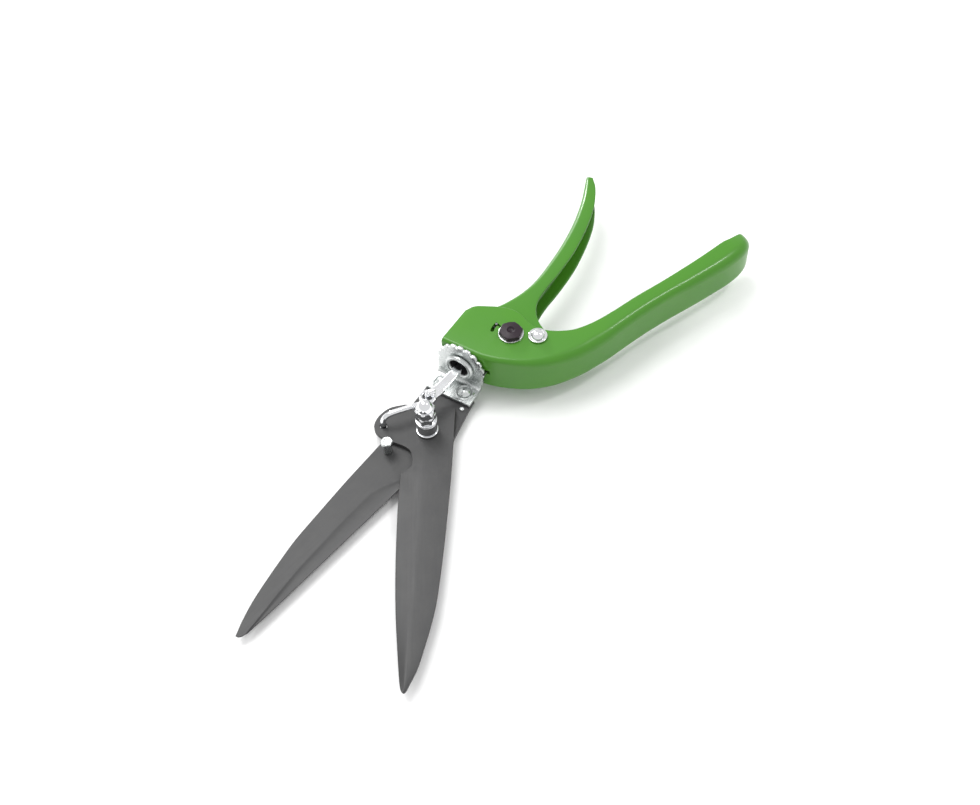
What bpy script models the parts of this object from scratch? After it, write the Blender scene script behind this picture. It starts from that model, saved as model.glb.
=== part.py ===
"""One-hand grass shears with a swivelling blade head, as separate sub-parts.

All named sizes are millimetres. They are measured from the swivel axis: X runs along it towards the
blade tips, Y towards the fixed handle's spine, and Z up out of the upper cheek.
"""
import math

import bmesh
import bpy
import numpy as np
from mathutils import Matrix, Vector

MM = 0.001
FIT = 0.25            # gap between pieces that seat on each other
RUN = 0.3             # radial clearance of a piece that turns or slides in another

# Fixed handle: one pressed channel, whose spine also closes the front of the head.
HEAD_HALF = 11.2      # half of the channel's outside width
WALL = 1.5
FRONT_X = -1.8        # outside of the head's front wall
SETBACK = 15.0        # from the disc back to the middle of the head, where the row's origin is
GRIP_DOME = 17.0      # the channel gets shallower over this last length before the grip's tip
GRIP_TOWARDS = 158.0  # direction of the grip's end, in degrees from the X axis
# Plan stations along the channel: spine x, spine y, rim x, rim y, bend radius.
FIXED_STATIONS = [
    (-1.8, -11.5, -23.5, -10.7, 1.9), (-1.8, -6.5, -27.8, -8.2, 1.9), (-1.8, -1.0, -31.0, -2.6, 2.0),
    (-1.8, 5.0, -33.8, 3.6, 2.0), (-2.1, 11.0, -35.0, 9.4, 2.1), (-3.2, 17.0, -34.3, 14.2, 2.3),
    (-5.0, 22.8, -32.4, 18.6, 2.5), (-7.6, 29.4, -31.0, 23.2, 3.0), (-11.4, 36.0, -31.2, 27.8, 3.6),
    (-16.5, 42.0, -32.8, 32.4, 4.2), (-23.0, 47.5, -35.4, 37.0, 4.8), (-31.2, 52.8, -39.6, 42.0, 5.4),
    (-42.6, 57.8, -47.6, 47.4, 5.8), (-55.0, 62.0, -58.4, 52.4, 6.2), (-69.0, 67.2, -72.0, 57.8, 6.4),
    (-82.0, 72.8, -85.4, 63.8, 6.6), (-94.0, 78.8, -98.4, 69.2, 6.9), (-106.0, 84.4, -110.6, 74.0, 7.0),
    (-116.4, 88.9, -119.8, 77.3, 7.2), (-125.0, 91.3, -125.6, 79.4, 7.0), (-131.2, 91.5, -128.6, 81.0, 6.6),
    (-135.8, 89.8, -130.4, 81.8, 6.0), (-138.4, 87.0, -131.4, 82.3, 5.2), (-138.8, 84.8, -131.9, 82.6, 4.6),
]

# Moving handle: a second channel, open towards the fixed one, whose end lies between the cheeks.
LEVER_HALF = 8.2
LEVER_WALL = 1.4
LEVER_STATIONS = [
    (-135.6, -4.3, -136.4, -0.6, 1.7), (-130.4, -2.5, -131.6, 3.4, 2.6), (-122.4, 0.3, -124.0, 7.4, 3.2),
    (-114.0, 2.7, -115.2, 10.7, 3.4), (-101.5, 5.4, -102.2, 13.7, 3.4), (-86.0, 7.2, -86.0, 15.9, 3.4),
    (-70.0, 7.8, -69.6, 16.2, 3.2), (-58.4, 7.4, -56.6, 15.6, 3.0), (-49.6, 5.6, -47.4, 16.2, 2.8),
    (-42.6, 3.1, -41.2, 18.8, 2.6), (-37.0, 0.4, -36.2, 23.4, 2.4), (-31.4, -3.4, -31.8, 30.2, 2.2),
    (-25.0, -6.8, -26.0, 36.4, 2.0), (-19.6, -8.4, -21.0, 36.6, 1.9), (-15.4, -9.0, -17.0, 33.6, 1.9),
]

# Handle pivot, and the lever that pulls the rod.
PIVOT = (-25.9, 28.4)
RIVET_R = 2.5
RIVET_HEAD_R = 3.3
RIVET_WASHER_R = 4.6
LEVER_ARM = 28.0
PIN_R = 1.5
ROD_TRAVEL = 10.77    # how far a full squeeze pulls the rod
BUSH_WALL = 1.0
SPRING_WIRE_R = 0.7

# Lock knob and its catch, on the upper cheek.
KNOB = (-21.1, 16.2)
KNOB_R = 5.75
KNOB_T = 2.4
KNOB_SHANK_R = 2.4
SLOT_R = 9.4
SLOT_W = 1.8
SLOT_FROM, SLOT_TO = -106.0, -74.0
PEG_AT = -101.0
CATCH_T = 0.8

# Swivelling head: a scalloped disc and foot in one pressing, on a flared tube.
DISC_R = 13.1
DISC_T = 1.8
TEETH = 18
TOOTH_DEPTH = 1.1
TUBE_R = 6.2
TUBE_WALL = 1.1
LIP_R = 7.6
FOOT_TOP = -11.4
FOOT_T = 2.0
FOOT_X = 12.0
FOOT_Y = (-13.2, 11.2)
FOOT_RIVETS = [("foot_rivet", (6.3, 5.4)), ("foot_rivet_far", (6.3, -7.4))]
FOOT_RIVET_R = 2.0

# Pull rod and link wire.
ROD_R = 1.7
BAR_T = 2.2            # the rod is flat from the head to its eye
EYE = (24.5, -3.5)
EYE_R = 4.2
EYE_T = 2.8
LINK_R = 1.4
OPEN_PIVOT_PLAY = 1.05

# Blades. The lower one is fixed to the foot, and the upper one turns on the bolt.
BLADE_PIVOT = (34.3, 1.6)
LOWER_T = 2.3
UPPER_T = 2.2
BOLT_R = 3.0
BOLT_HEAD_T = 2.4
# Thicknesses of what is stacked on the bolt above the upper blade.
STACK = [("washer", 1.0), ("collar", 6.6), ("seat", 0.9), ("nut", 4.0), ("cap", 9.2)]
EAR = (42.5, -18.3)
STOP = (52.6, -9.2)
STOP_R = 2.2
STOP_SHANK_R = 1.4
LOWER_LENGTH = 133.6
UPPER_LENGTH = 134.4
BEVEL_W = 9.0
EDGE_T = 0.5          # blade thickness left at the cutting edge
LOWER_AT = -10.2      # direction of the lower blade's cutting edge, in degrees from the X axis
UPPER_AT = 32.7       # direction of the upper blade's cutting edge, with the blades open
DOWEL = (14.3, 8.6)

DISC_FRONT = FRONT_X + FIT + DISC_T
LOWER_TOP = FOOT_TOP - FOOT_T - FIT
LOWER_BOTTOM = LOWER_TOP - LOWER_T
UPPER_BOTTOM = LOWER_TOP + FIT
UPPER_TOP = UPPER_BOTTOM + UPPER_T
SQUEEZE = 2 * math.asin(ROD_TRAVEL / 2 / LEVER_ARM)
PIN = (PIVOT[0] + LEVER_ARM * math.sin(SQUEEZE / 2), PIVOT[1] - LEVER_ARM * math.cos(SQUEEZE / 2))

ENAMEL_FIXED = ("green_enamel", (0.14, 0.42, 0.07), 0.35, 0.0)
ENAMEL_LEVER = ("lever_enamel", (0.07, 0.34, 0.05), 0.35, 0.0)
ZINC = ("zinc_plate", (0.72, 0.73, 0.74), 0.32, 1.0)
CHROME = ("bright_chrome", (0.86, 0.87, 0.88), 0.12, 1.0)
BLADE = ("blade_steel", (0.14, 0.14, 0.145), 0.38, 1.0)
SPRING = ("spring_steel", (0.42, 0.42, 0.44), 0.35, 1.0)
BLACK = ("black_oxide", (0.035, 0.03, 0.035), 0.45, 0.6)
NYLON = ("dark_nylon", (0.03, 0.03, 0.032), 0.5, 0.0)


def clear_scene():
    for obj in list(bpy.data.objects):
        bpy.data.objects.remove(obj)


def make_collection(name):
    collection = bpy.data.collections.new(name)
    bpy.context.scene.collection.children.link(collection)
    return collection


def material(spec):
    name, colour, roughness, metallic = spec
    if name in bpy.data.materials:
        return bpy.data.materials[name]
    made = bpy.data.materials.new(name)
    made.use_nodes = True
    shader = made.node_tree.nodes["Principled BSDF"]
    shader.inputs["Base Color"].default_value = (*colour, 1)
    shader.inputs["Roughness"].default_value = roughness
    shader.inputs["Metallic"].default_value = metallic
    made.diffuse_color = (*colour, 1)
    return made


def add_object(name, mesh, spec):
    """Links a finished mesh into the shears' collection, smooth except at its real corners."""
    obj = bpy.data.objects.new(name, mesh)
    PARTS.objects.link(obj)
    mesh.materials.append(material(spec))
    mesh.shade_smooth()
    mesh.set_sharp_from_angle(angle=math.radians(32))
    return obj


def baked(obj):
    """The evaluated mesh of a temporary curve or profile object, with doubled points merged."""
    bpy.context.view_layer.update()
    graph = bpy.context.evaluated_depsgraph_get()
    mesh = bpy.data.meshes.new_from_object(obj.evaluated_get(graph))
    bpy.data.objects.remove(obj)
    work = bmesh.new()
    work.from_mesh(mesh)
    bmesh.ops.remove_doubles(work, verts=work.verts, dist=0.001 * MM)
    bmesh.ops.recalc_face_normals(work, faces=work.faces)
    work.to_mesh(mesh)
    work.free()
    return mesh


def circle(x, y, radius, count=36):
    return [
        (x + radius * math.cos(a), y + radius * math.sin(a))
        for a in np.linspace(0, 2 * math.pi, count, endpoint=False)
    ]


def rounded(corners, steps=6):
    """A closed outline of (x, y, radius) corners, each turned into an arc."""
    outline = []
    for i, (x, y, radius) in enumerate(corners):
        here = Vector((x, y))
        before = (Vector(corners[i - 1][:2]) - here).normalized()
        after = (Vector(corners[(i + 1) % len(corners)][:2]) - here).normalized()
        half = before.angle(after) / 2
        if radius == 0 or half > math.radians(88):
            outline.append((x, y))
            continue
        centre = here + (before + after).normalized() * radius / math.sin(half)
        start = here + before * radius / math.tan(half) - centre
        sweep = start.angle_signed(here + after * radius / math.tan(half) - centre)
        for step in range(steps + 1):
            spoke = Matrix.Rotation(-sweep * step / steps, 2) @ start
            outline.append(tuple(centre + spoke))
    return outline


def smooth_path(points, per_span=4, closed=False):
    """Catmull-Rom curve through the points, as an array with per_span steps between each pair."""
    nodes = np.array(points, float)
    if closed:
        nodes = np.vstack([nodes[-1], nodes, nodes[:2]])
    else:
        nodes = np.vstack([2 * nodes[0] - nodes[1], nodes, 2 * nodes[-1] - nodes[-2]])
    steps = np.arange(per_span)[:, None] / per_span
    made = []
    for a, b, c, d in zip(nodes, nodes[1:], nodes[2:], nodes[3:]):
        made.append(
            0.5 * (2 * b + (c - a) * steps + (2 * a - 5 * b + 4 * c - d) * steps**2
                   + (3 * b - a - 3 * c + d) * steps**3)
        )
    if not closed:
        made.append(nodes[-2][None])
    return np.vstack(made)


def plate(name, loops, bottom, top, spec):
    """A flat plate: the first loop is its outline, and any others are holes through it."""
    data = bpy.data.curves.new(name, "CURVE")
    data.dimensions = "2D"
    data.fill_mode = "BOTH"
    data.extrude = (top - bottom) / 2 * MM
    for loop in loops:
        spline = data.splines.new("POLY")
        spline.points.add(len(loop) - 1)
        for point, (x, y) in zip(spline.points, loop):
            point.co = (x * MM, y * MM, 0, 1)
        spline.use_cyclic_u = True
    temporary = bpy.data.objects.new(name, data)
    PARTS.objects.link(temporary)
    mesh = baked(temporary)
    mesh.transform(Matrix.Translation((0, 0, (top + bottom) / 2 * MM)))
    return add_object(name, mesh, spec)


def turned(name, profile, spec, centre=(0, 0, 0), along="Z", steps=36):
    """A turned piece: (radius, height) points that close on themselves or end on the axis."""
    mesh = bpy.data.meshes.new(name)
    points = [(r * MM, 0, h * MM) for r, h in profile]
    ends_on_axis = profile[0][0] == 0 and profile[-1][0] == 0
    edges = [(i, i + 1) for i in range(len(points) - 1)]
    if not ends_on_axis:
        edges.append((len(points) - 1, 0))
    mesh.from_pydata(points, edges, [])
    temporary = bpy.data.objects.new(name, mesh)
    PARTS.objects.link(temporary)
    screw = temporary.modifiers.new("Screw", "SCREW")
    screw.steps = screw.render_steps = steps
    screw.use_merge_vertices = True
    screw.merge_threshold = 0.00001
    solid = baked(temporary)
    if along == "X":
        solid.transform(Matrix.Rotation(math.radians(90), 4, "Y"))
    solid.transform(Matrix.Translation(Vector(centre) * MM))
    return add_object(name, solid, spec)


def ring_profile(inner, outer, low, high, chamfer=0.15):
    return [
        (inner, low), (inner, high), (outer - chamfer, high), (outer, high - chamfer),
        (outer, low + chamfer), (outer - chamfer, low),
    ]


def hexagon(name, across_flats, bore, low, high, centre, spec, turn=0.0, chamfer=0.5):
    """A hexagon nut or head on the vertical axis: a bore of 0 leaves it solid."""
    work = bmesh.new()
    radius = across_flats / math.sqrt(3)
    bmesh.ops.create_cone(
        work, cap_ends=True, segments=6, radius1=radius * MM, radius2=radius * MM, depth=(high - low) * MM
    )
    work.transform(Matrix.Rotation(math.radians(turn), 4, "Z"))
    work.transform(Matrix.Translation(Vector((centre[0], centre[1], (low + high) / 2)) * MM))
    mesh = bpy.data.meshes.new(name)
    work.to_mesh(mesh)
    work.free()
    obj = add_object(name, mesh, spec)
    blank = turned(
        name + "_chamfer",
        [(0, low - 1), (0, high + 1), (across_flats / 2 - chamfer / 2, high + 1),
         (across_flats / 2 - chamfer / 2, high), (radius + 0.3, high - chamfer), (radius + 0.3, low - 1)],
        spec, (*centre, 0),
    )
    boolean(obj, blank, "INTERSECT")
    if bore:
        boolean(obj, cylinder(name + "_bore", bore, low - 2, high + 2, centre))
    return obj


def cylinder(name, radius, low, high, centre, steps=32, along="Z"):
    """A plain cutter or stud. along X, low and high are x values and centre is (y, z)."""
    profile = [(0, low), (0, high), (radius, high), (radius, low)]
    if along == "X":
        return turned(name, profile, ZINC, (0, centre[0], centre[1]), "X", steps)
    return turned(name, profile, ZINC, (*centre, 0), "Z", steps)


def box(name, low, high, spec=ZINC):
    work = bmesh.new()
    bmesh.ops.create_cube(work, size=1)
    size = [(b - a) * MM for a, b in zip(low, high)]
    middle = [(a + b) / 2 * MM for a, b in zip(low, high)]
    work.transform(Matrix.Translation(middle) @ Matrix.Diagonal((*size, 1)))
    mesh = bpy.data.meshes.new(name)
    work.to_mesh(mesh)
    work.free()
    return add_object(name, mesh, spec)


def wire(name, points, radius, spec, sides=3):
    """A round wire or rod along the points, with capped ends."""
    data = bpy.data.curves.new(name, "CURVE")
    data.dimensions = "3D"
    data.bevel_depth = radius * MM
    data.bevel_resolution = sides
    data.use_fill_caps = True
    spline = data.splines.new("POLY")
    spline.points.add(len(points) - 1)
    for point, (x, y, z) in zip(spline.points, points):
        point.co = (x * MM, y * MM, z * MM, 1)
    temporary = bpy.data.objects.new(name, data)
    PARTS.objects.link(temporary)
    return add_object(name, baked(temporary), spec)


def boolean(obj, other, operation="DIFFERENCE"):
    """Cuts, joins or trims obj with a helper, which moves to the cutters' collection."""
    modifier = obj.modifiers.new(other.name, "BOOLEAN")
    modifier.operation = operation
    modifier.solver = "EXACT"
    modifier.object = other
    PARTS.objects.unlink(other)
    CUTTERS.objects.link(other)
    other.hide_render = True
    other.display_type = "WIRE"


def joint(name, x, y, z=0.0, parent=None):
    """An empty on a joint's axis, which its moving pieces are parented to."""
    empty = bpy.data.objects.new(name, None)
    PARTS.objects.link(empty)
    empty.empty_display_size = 0.01
    empty["frame_mm"] = (x, y, z)
    empty.location = Vector((x, y, z)) * MM
    if parent:
        empty.parent = parent
        empty.location = empty.location - Vector(parent["frame_mm"]) * MM
    return empty


def attach(parent, *objects):
    """Parents pieces and their helpers to a joint's empty without moving them."""
    for obj in objects:
        obj.parent = parent
        obj.location = -Vector(parent["frame_mm"]) * MM
        attach(parent, *[m.object for m in obj.modifiers if m.type == "BOOLEAN"])


def channel_sections(stations, half, wall, dome):
    """Outer and inner points of a channel at each station, and the plan lines they lie on. Over the last
    length before the tip, dome, its height falls along a quarter ellipse to half as much."""
    path = smooth_path(stations, 2)
    spine, rim, bend = path[:, 0:2], path[:, 2:4], path[:, 4]
    across = rim - spine
    depth = np.linalg.norm(across, axis=1)
    across = across / depth[:, None]
    run = np.gradient(spine, axis=0)
    run = run / np.linalg.norm(run, axis=1)[:, None]
    slant = 1 / np.abs(run[:, 0] * across[:, 1] - run[:, 1] * across[:, 0])
    bend = np.minimum(bend, 0.45 * depth / slant)
    axis = np.array([math.cos(math.radians(GRIP_TOWARDS)), math.sin(math.radians(GRIP_TOWARDS))])
    tip = (spine @ axis).max()
    turn = np.radians(np.linspace(90, 180, 6))
    sections = []
    for inset in (0.0, wall):
        reach = (bend[:, None] + (bend - inset)[:, None] * np.cos(turn)) * slant[:, None]
        height = half - bend[:, None] + (bend - inset)[:, None] * np.sin(turn)
        reach = np.hstack([depth[:, None], reach, reach[:, ::-1], depth[:, None]])
        edge = np.full((len(path), 1), half - inset)
        height = np.hstack([edge, height, -height[:, ::-1], -edge])
        plan = spine[:, None, :] + across[:, None, :] * reach[:, :, None]
        if dome:
            closing = 1 - np.clip((tip - plan @ axis) / dome, 0, 1)
            height = height * (1 + np.sqrt(1 - closing**2)) / 2
        sections.append(np.dstack([plan, height]))
    return sections[0], sections[1], spine, rim, across, slant


def channel(name, stations, half, wall, spec, dome=0.0):
    """A pressed channel lofted through its stations: two cheeks, two bends and a spine."""
    outer, inner = channel_sections(stations, half, wall, dome)[:2]
    rings = np.concatenate([outer, inner[:, ::-1]], axis=1)
    count, size = rings.shape[:2]
    work = bmesh.new()
    verts = [[work.verts.new(Vector(point) * MM) for point in ring] for ring in rings]
    for a, b in zip(verts, verts[1:]):
        for j in range(size):
            k = (j + 1) % size
            work.faces.new((a[j], a[k], b[k], b[j]))
    for ring in (verts[0], verts[-1]):
        for j in range(size // 2 - 1):
            work.faces.new((ring[j], ring[j + 1], ring[size - 2 - j], ring[size - 1 - j]))
    bmesh.ops.recalc_face_normals(work, faces=work.faces)
    mesh = bpy.data.meshes.new(name)
    work.to_mesh(mesh)
    work.free()
    return add_object(name, mesh, spec)


def polar(centre, radius, degrees):
    angle = math.radians(degrees)
    return (centre[0] + radius * math.cos(angle), centre[1] + radius * math.sin(angle))


def arc_slot():
    """Outline of the curved slot in the upper cheek, an arc about the knob with a short leg inwards."""
    half = SLOT_W / 2
    angles = np.linspace(SLOT_FROM, SLOT_TO, 9)
    outside = [polar(KNOB, SLOT_R + half, a) for a in angles]
    end = polar(KNOB, SLOT_R, SLOT_TO)
    tip = [polar(end, half, a) for a in (SLOT_TO + 45, SLOT_TO + 90, SLOT_TO + 135)]
    inside = [polar(KNOB, SLOT_R - half, a) for a in angles[::-1][:-3]]
    leg_side = polar(KNOB, SLOT_R - half - 1.8, angles[2])
    leg_end = polar(KNOB, SLOT_R - half - 2.0, SLOT_FROM)
    return outside + tip + inside + [leg_side, leg_end]


def make_fixed_handle(root):
    handle = channel("fixed_handle", FIXED_STATIONS, HEAD_HALF, WALL, ENAMEL_FIXED, GRIP_DOME)
    through = HEAD_HALF + 1
    inside = HEAD_HALF - WALL - 1
    boolean(handle, cylinder("rivet_hole", RIVET_R + FIT, -through, through, PIVOT))
    boolean(handle, cylinder("knob_hole", KNOB_SHANK_R + RUN, inside, through, KNOB))
    boolean(handle, plate("slot_cut", [arc_slot()], inside, through, ZINC))
    boolean(handle, cylinder("tube_hole", TUBE_R + RUN, FRONT_X - 4, FRONT_X + 2, (0, 0), along="X"))
    notch = (DISC_R - TOOTH_DEPTH - 0.9, DISC_R + 1.7)
    boolean(handle, box("pawl_notch", (FRONT_X - 4.5, notch[0], -1.3), (FRONT_X + 1, notch[1], 1.3)))
    attach(root, handle)


def make_moving_handle(pivot):
    lever = channel("moving_handle", LEVER_STATIONS, LEVER_HALF, LEVER_WALL, ENAMEL_LEVER)
    through = LEVER_HALF + 1
    boolean(lever, cylinder("lever_hole", RIVET_R + RUN, -through, through, PIVOT))
    boolean(lever, cylinder("pin_hole", PIN_R + FIT, -through, through, PIN))
    pin = turned(
        "rod_pin",
        [(0, -LEVER_HALF - 0.7), (0, LEVER_HALF + 0.7), (PIN_R - 0.3, LEVER_HALF + 0.7),
         (PIN_R, LEVER_HALF + 0.4), (PIN_R, -LEVER_HALF - 0.4), (PIN_R - 0.3, -LEVER_HALF - 0.7)],
        ZINC, (*PIN, 0), steps=24,
    )
    sections = channel_sections(LEVER_STATIONS, LEVER_HALF, LEVER_WALL, 0.0)
    spine, rim, across, slant = [values[:4] for values in sections[2:]]
    near = spine + across * (LEVER_WALL * slant + FIT + 0.7)[:, None]
    far = rim - across * 0.4
    fill = LEVER_HALF - LEVER_WALL - FIT
    plug = plate("grip_end_plug", [[tuple(p) for p in np.vstack([near, far[::-1]])]], -fill, fill, NYLON)
    attach(pivot, lever, pin, plug)


def make_handle_pivot(root):
    seat = HEAD_HALF + FIT
    washer_t = 1.0
    top = seat + washer_t + 0.1
    dome = [(RIVET_HEAD_R * math.cos(a), top + 2.3 * math.sin(a)) for a in np.radians([0, 18, 36, 54, 72])]
    profile = [(0, -top - 1.6), (0, top + 2.3)] + dome[::-1] + [(RIVET_R, top), (RIVET_R, -top)]
    closing = np.radians([0, 20, 40, 60, 75])
    profile += [(RIVET_HEAD_R * math.cos(a), -top - 1.6 * math.sin(a)) for a in closing]
    rivet = turned("handle_rivet", profile, CHROME, (*PIVOT, 0))
    pieces = [rivet]
    for name, side in (("rivet_washer_upper", 1), ("rivet_washer_lower", -1)):
        low, high = sorted((side * seat, side * (seat + washer_t - FIT / 2)))
        ring = ring_profile(RIVET_R + FIT, RIVET_WASHER_R, low, high, 0.3)
        pieces.append(turned(name, ring, CHROME, (*PIVOT, 0)))
    gap = HEAD_HALF - WALL - LEVER_HALF
    for name, side in (("cheek_washer_upper", 1), ("cheek_washer_lower", -1)):
        low, high = sorted((side * (LEVER_HALF + 0.25), side * (LEVER_HALF + gap - 0.25)))
        pieces.append(turned(name, ring_profile(RIVET_R + RUN, 6.2, low, high), SPRING, (*PIVOT, 0)))
    reach = LEVER_HALF - LEVER_WALL - RUN
    bush = ring_profile(RIVET_R + RUN, RIVET_R + RUN + BUSH_WALL, -reach, reach)
    pieces.append(turned("pivot_bush", bush, ZINC, (*PIVOT, 0)))
    attach(root, *pieces)


def make_return_spring(root):
    """Torsion spring round the bush: one leg on the fixed spine, one on the moving handle's spine."""
    radius = RIVET_R + RUN + BUSH_WALL + RUN + SPRING_WIRE_R
    turns, low, high = 3.4, -4.2, 1.6
    start, end = 62.0, 62.0 + 360 * turns
    coil = [
        (*polar(PIVOT, radius, a), low + (high - low) * (a - start) / (end - start))
        for a in np.linspace(start, end, int(turns * 20))
    ]
    to_fixed = [(-17.6, 36.2, low), (-21.2, 35.0, low)]
    to_lever = [(-36.5, 18.0, high), (-41.0, 7.4, high)]
    points = to_fixed + coil + to_lever
    attach(root, wire("return_spring", points, SPRING_WIRE_R, SPRING, 2))


def make_index_pawl(root):
    """Wire detent: a coil round the bush and an arm whose nose drops between two scallops."""
    radius = RIVET_R + RUN + BUSH_WALL + RUN + 0.5
    coil = [(*polar(PIVOT, radius, a), 3.6 + 1.3 * (a - 60) / 300) for a in np.linspace(60, 345, 20)]
    nose_y = DISC_R - 0.1
    arm = [
        (-17.5, 24.2, 4.6), (-12.0, 19.0, 3.2), (-7.4, 15.2, 1.2), (FRONT_X - 3.4, nose_y + 0.9, 0.2),
        (FRONT_X - 2.2, nose_y + 0.2, 0), (FRONT_X - 1.0, nose_y, 0), (DISC_FRONT - 0.2, nose_y, 0),
    ]
    smooth_arm = [tuple(p) for p in smooth_path(arm, 3)]
    attach(root, wire("index_pawl", coil + smooth_arm, 0.45, SPRING, 2))


def make_lock(knob_axis, root):
    seat = HEAD_HALF + FIT
    ring = ring_profile(KNOB_SHANK_R + RUN, KNOB_R + 0.45, seat, seat + 0.5)
    washer = turned("knob_washer", ring, ZINC, (*KNOB, 0))
    low = seat + 0.5 + FIT / 2
    knob = hexagon("lock_knob", 2 * KNOB_R * 0.94, 0, low, low + KNOB_T, KNOB, BLACK, turn=12, chamfer=1.0)
    face = low + KNOB_T
    dimple = [(0, face - 0.9), (0, face + 1), (1.9, face + 1), (1.5, face)]
    boolean(knob, turned("knob_dimple", dimple, BLACK, (*KNOB, 0)))
    under = HEAD_HALF - WALL - RUN
    boolean(knob, cylinder("knob_shank", KNOB_SHANK_R, under - CATCH_T - 0.15, low + 0.5, KNOB), "UNION")
    tail = polar(KNOB, SLOT_R, PEG_AT)
    outline = [polar(KNOB, 5.2, a) for a in np.linspace(PEG_AT + 40, PEG_AT + 320, 26)]
    outline += [polar(tail, 1.5, a) for a in np.linspace(PEG_AT - 90, PEG_AT + 90, 8)]
    catch = plate("lock_catch", [outline, circle(*KNOB, KNOB_SHANK_R + FIT)], under - CATCH_T, under, SPRING)
    boolean(catch, cylinder("catch_peg", SLOT_W / 2 - RUN, under - 0.3, HEAD_HALF + 0.2, tail, 16), "UNION")
    attach(knob_axis, knob, catch)
    attach(root, washer)


def index_outline():
    """Outline of the upright plate: scallops over the top, and straight sides down to the foot."""
    angles = np.radians(np.linspace(-10, 190, TEETH * 5))
    radius = DISC_R - TOOTH_DEPTH * ((1 + np.cos(TEETH * angles)) / 2) ** 3
    hem = FOOT_TOP + 3.0
    sides = [(FOOT_Y[0], -4.0), (FOOT_Y[0], hem), (FOOT_Y[1], hem), (FOOT_Y[1] + 0.8, -4.0)]
    return list(zip(radius * np.cos(angles), radius * np.sin(angles))) + sides


def make_index_bracket(swivel):
    """Scalloped disc with its foot bent forward, one zinc-plated pressing."""
    disc = plate("index_bracket", [index_outline(), circle(0, 0, TUBE_R + FIT)], -DISC_T, 0, ZINC)
    turn = Matrix(((0, 0, 1, DISC_FRONT * MM), (1, 0, 0, 0), (0, 1, 0, 0), (0, 0, 0, 1)))
    disc.data.transform(turn)
    low = FOOT_TOP - FOOT_T
    back = DISC_FRONT - DISC_T
    profile = rounded([
        (back + 0.1, FOOT_TOP + 3.4, 0), (back + 0.1, low, 3.2), (FOOT_X, low, 0.3),
        (FOOT_X, FOOT_TOP, 0.3), (DISC_FRONT + 0.1, FOOT_TOP, 1.8), (DISC_FRONT + 0.1, FOOT_TOP + 3.4, 0),
    ])
    foot = plate("foot_strip", [profile], FOOT_Y[0] + 0.05, FOOT_Y[1] - 0.05, ZINC)
    foot.data.transform(Matrix(((1, 0, 0, 0), (0, 0, 1, 0), (0, 1, 0, 0), (0, 0, 0, 1))))
    foot.data.flip_normals()
    boolean(disc, foot, "UNION")
    dome_r = 3.6
    top = FOOT_TOP + 0.15
    tail = LOWER_BOTTOM - 0.15
    head = [(dome_r * math.cos(a), top + 0.3 + 2.0 * math.sin(a)) for a in np.radians([72, 54, 36, 18, 0])]
    profile = [(0, tail - 1.3), (0, top + 2.3)] + head + [(dome_r, top), (FOOT_RIVET_R, top)]
    profile += [(FOOT_RIVET_R, tail), (3.4, tail), (3.4, tail - 0.5), (2.6, tail - 1.3)]
    for name, spot in FOOT_RIVETS:
        boolean(disc, cylinder(name + "_hole", FOOT_RIVET_R + FIT, low - 2, FOOT_TOP + 2, spot, 24))
        attach(swivel, turned(name, profile, ZINC, (*spot, 0)))
    attach(swivel, disc)


def make_swivel_tube(swivel):
    lip = DISC_FRONT + 0.15
    rear = FRONT_X - WALL - 5.6
    inner = TUBE_R - TUBE_WALL
    profile = [
        (inner, rear), (inner, lip + 1.2), (inner + 0.6, lip + 2.0), (inner + 1.4, lip + 2.3),
        (LIP_R - 0.5, lip + 1.9), (LIP_R, lip + 1.1), (LIP_R - 0.4, lip), (TUBE_R, lip), (TUBE_R, rear),
    ]
    tube = turned("swivel_tube", profile, ZINC, along="X", steps=40)
    back = FRONT_X - WALL - 0.2
    washer = turned("swivel_washer", ring_profile(TUBE_R + RUN, 9.0, back - 1.0, back), SPRING, along="X")
    ring = ring_profile(TUBE_R + 0.15, 8.2, back - 2.6, back - 1.3)
    clip = turned("tube_clip", ring, SPRING, along="X")
    boolean(clip, box("clip_gap", (back - 4, -1.4, -10), (back, 1.4, 0)))
    attach(swivel, tube, washer, clip)


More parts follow.
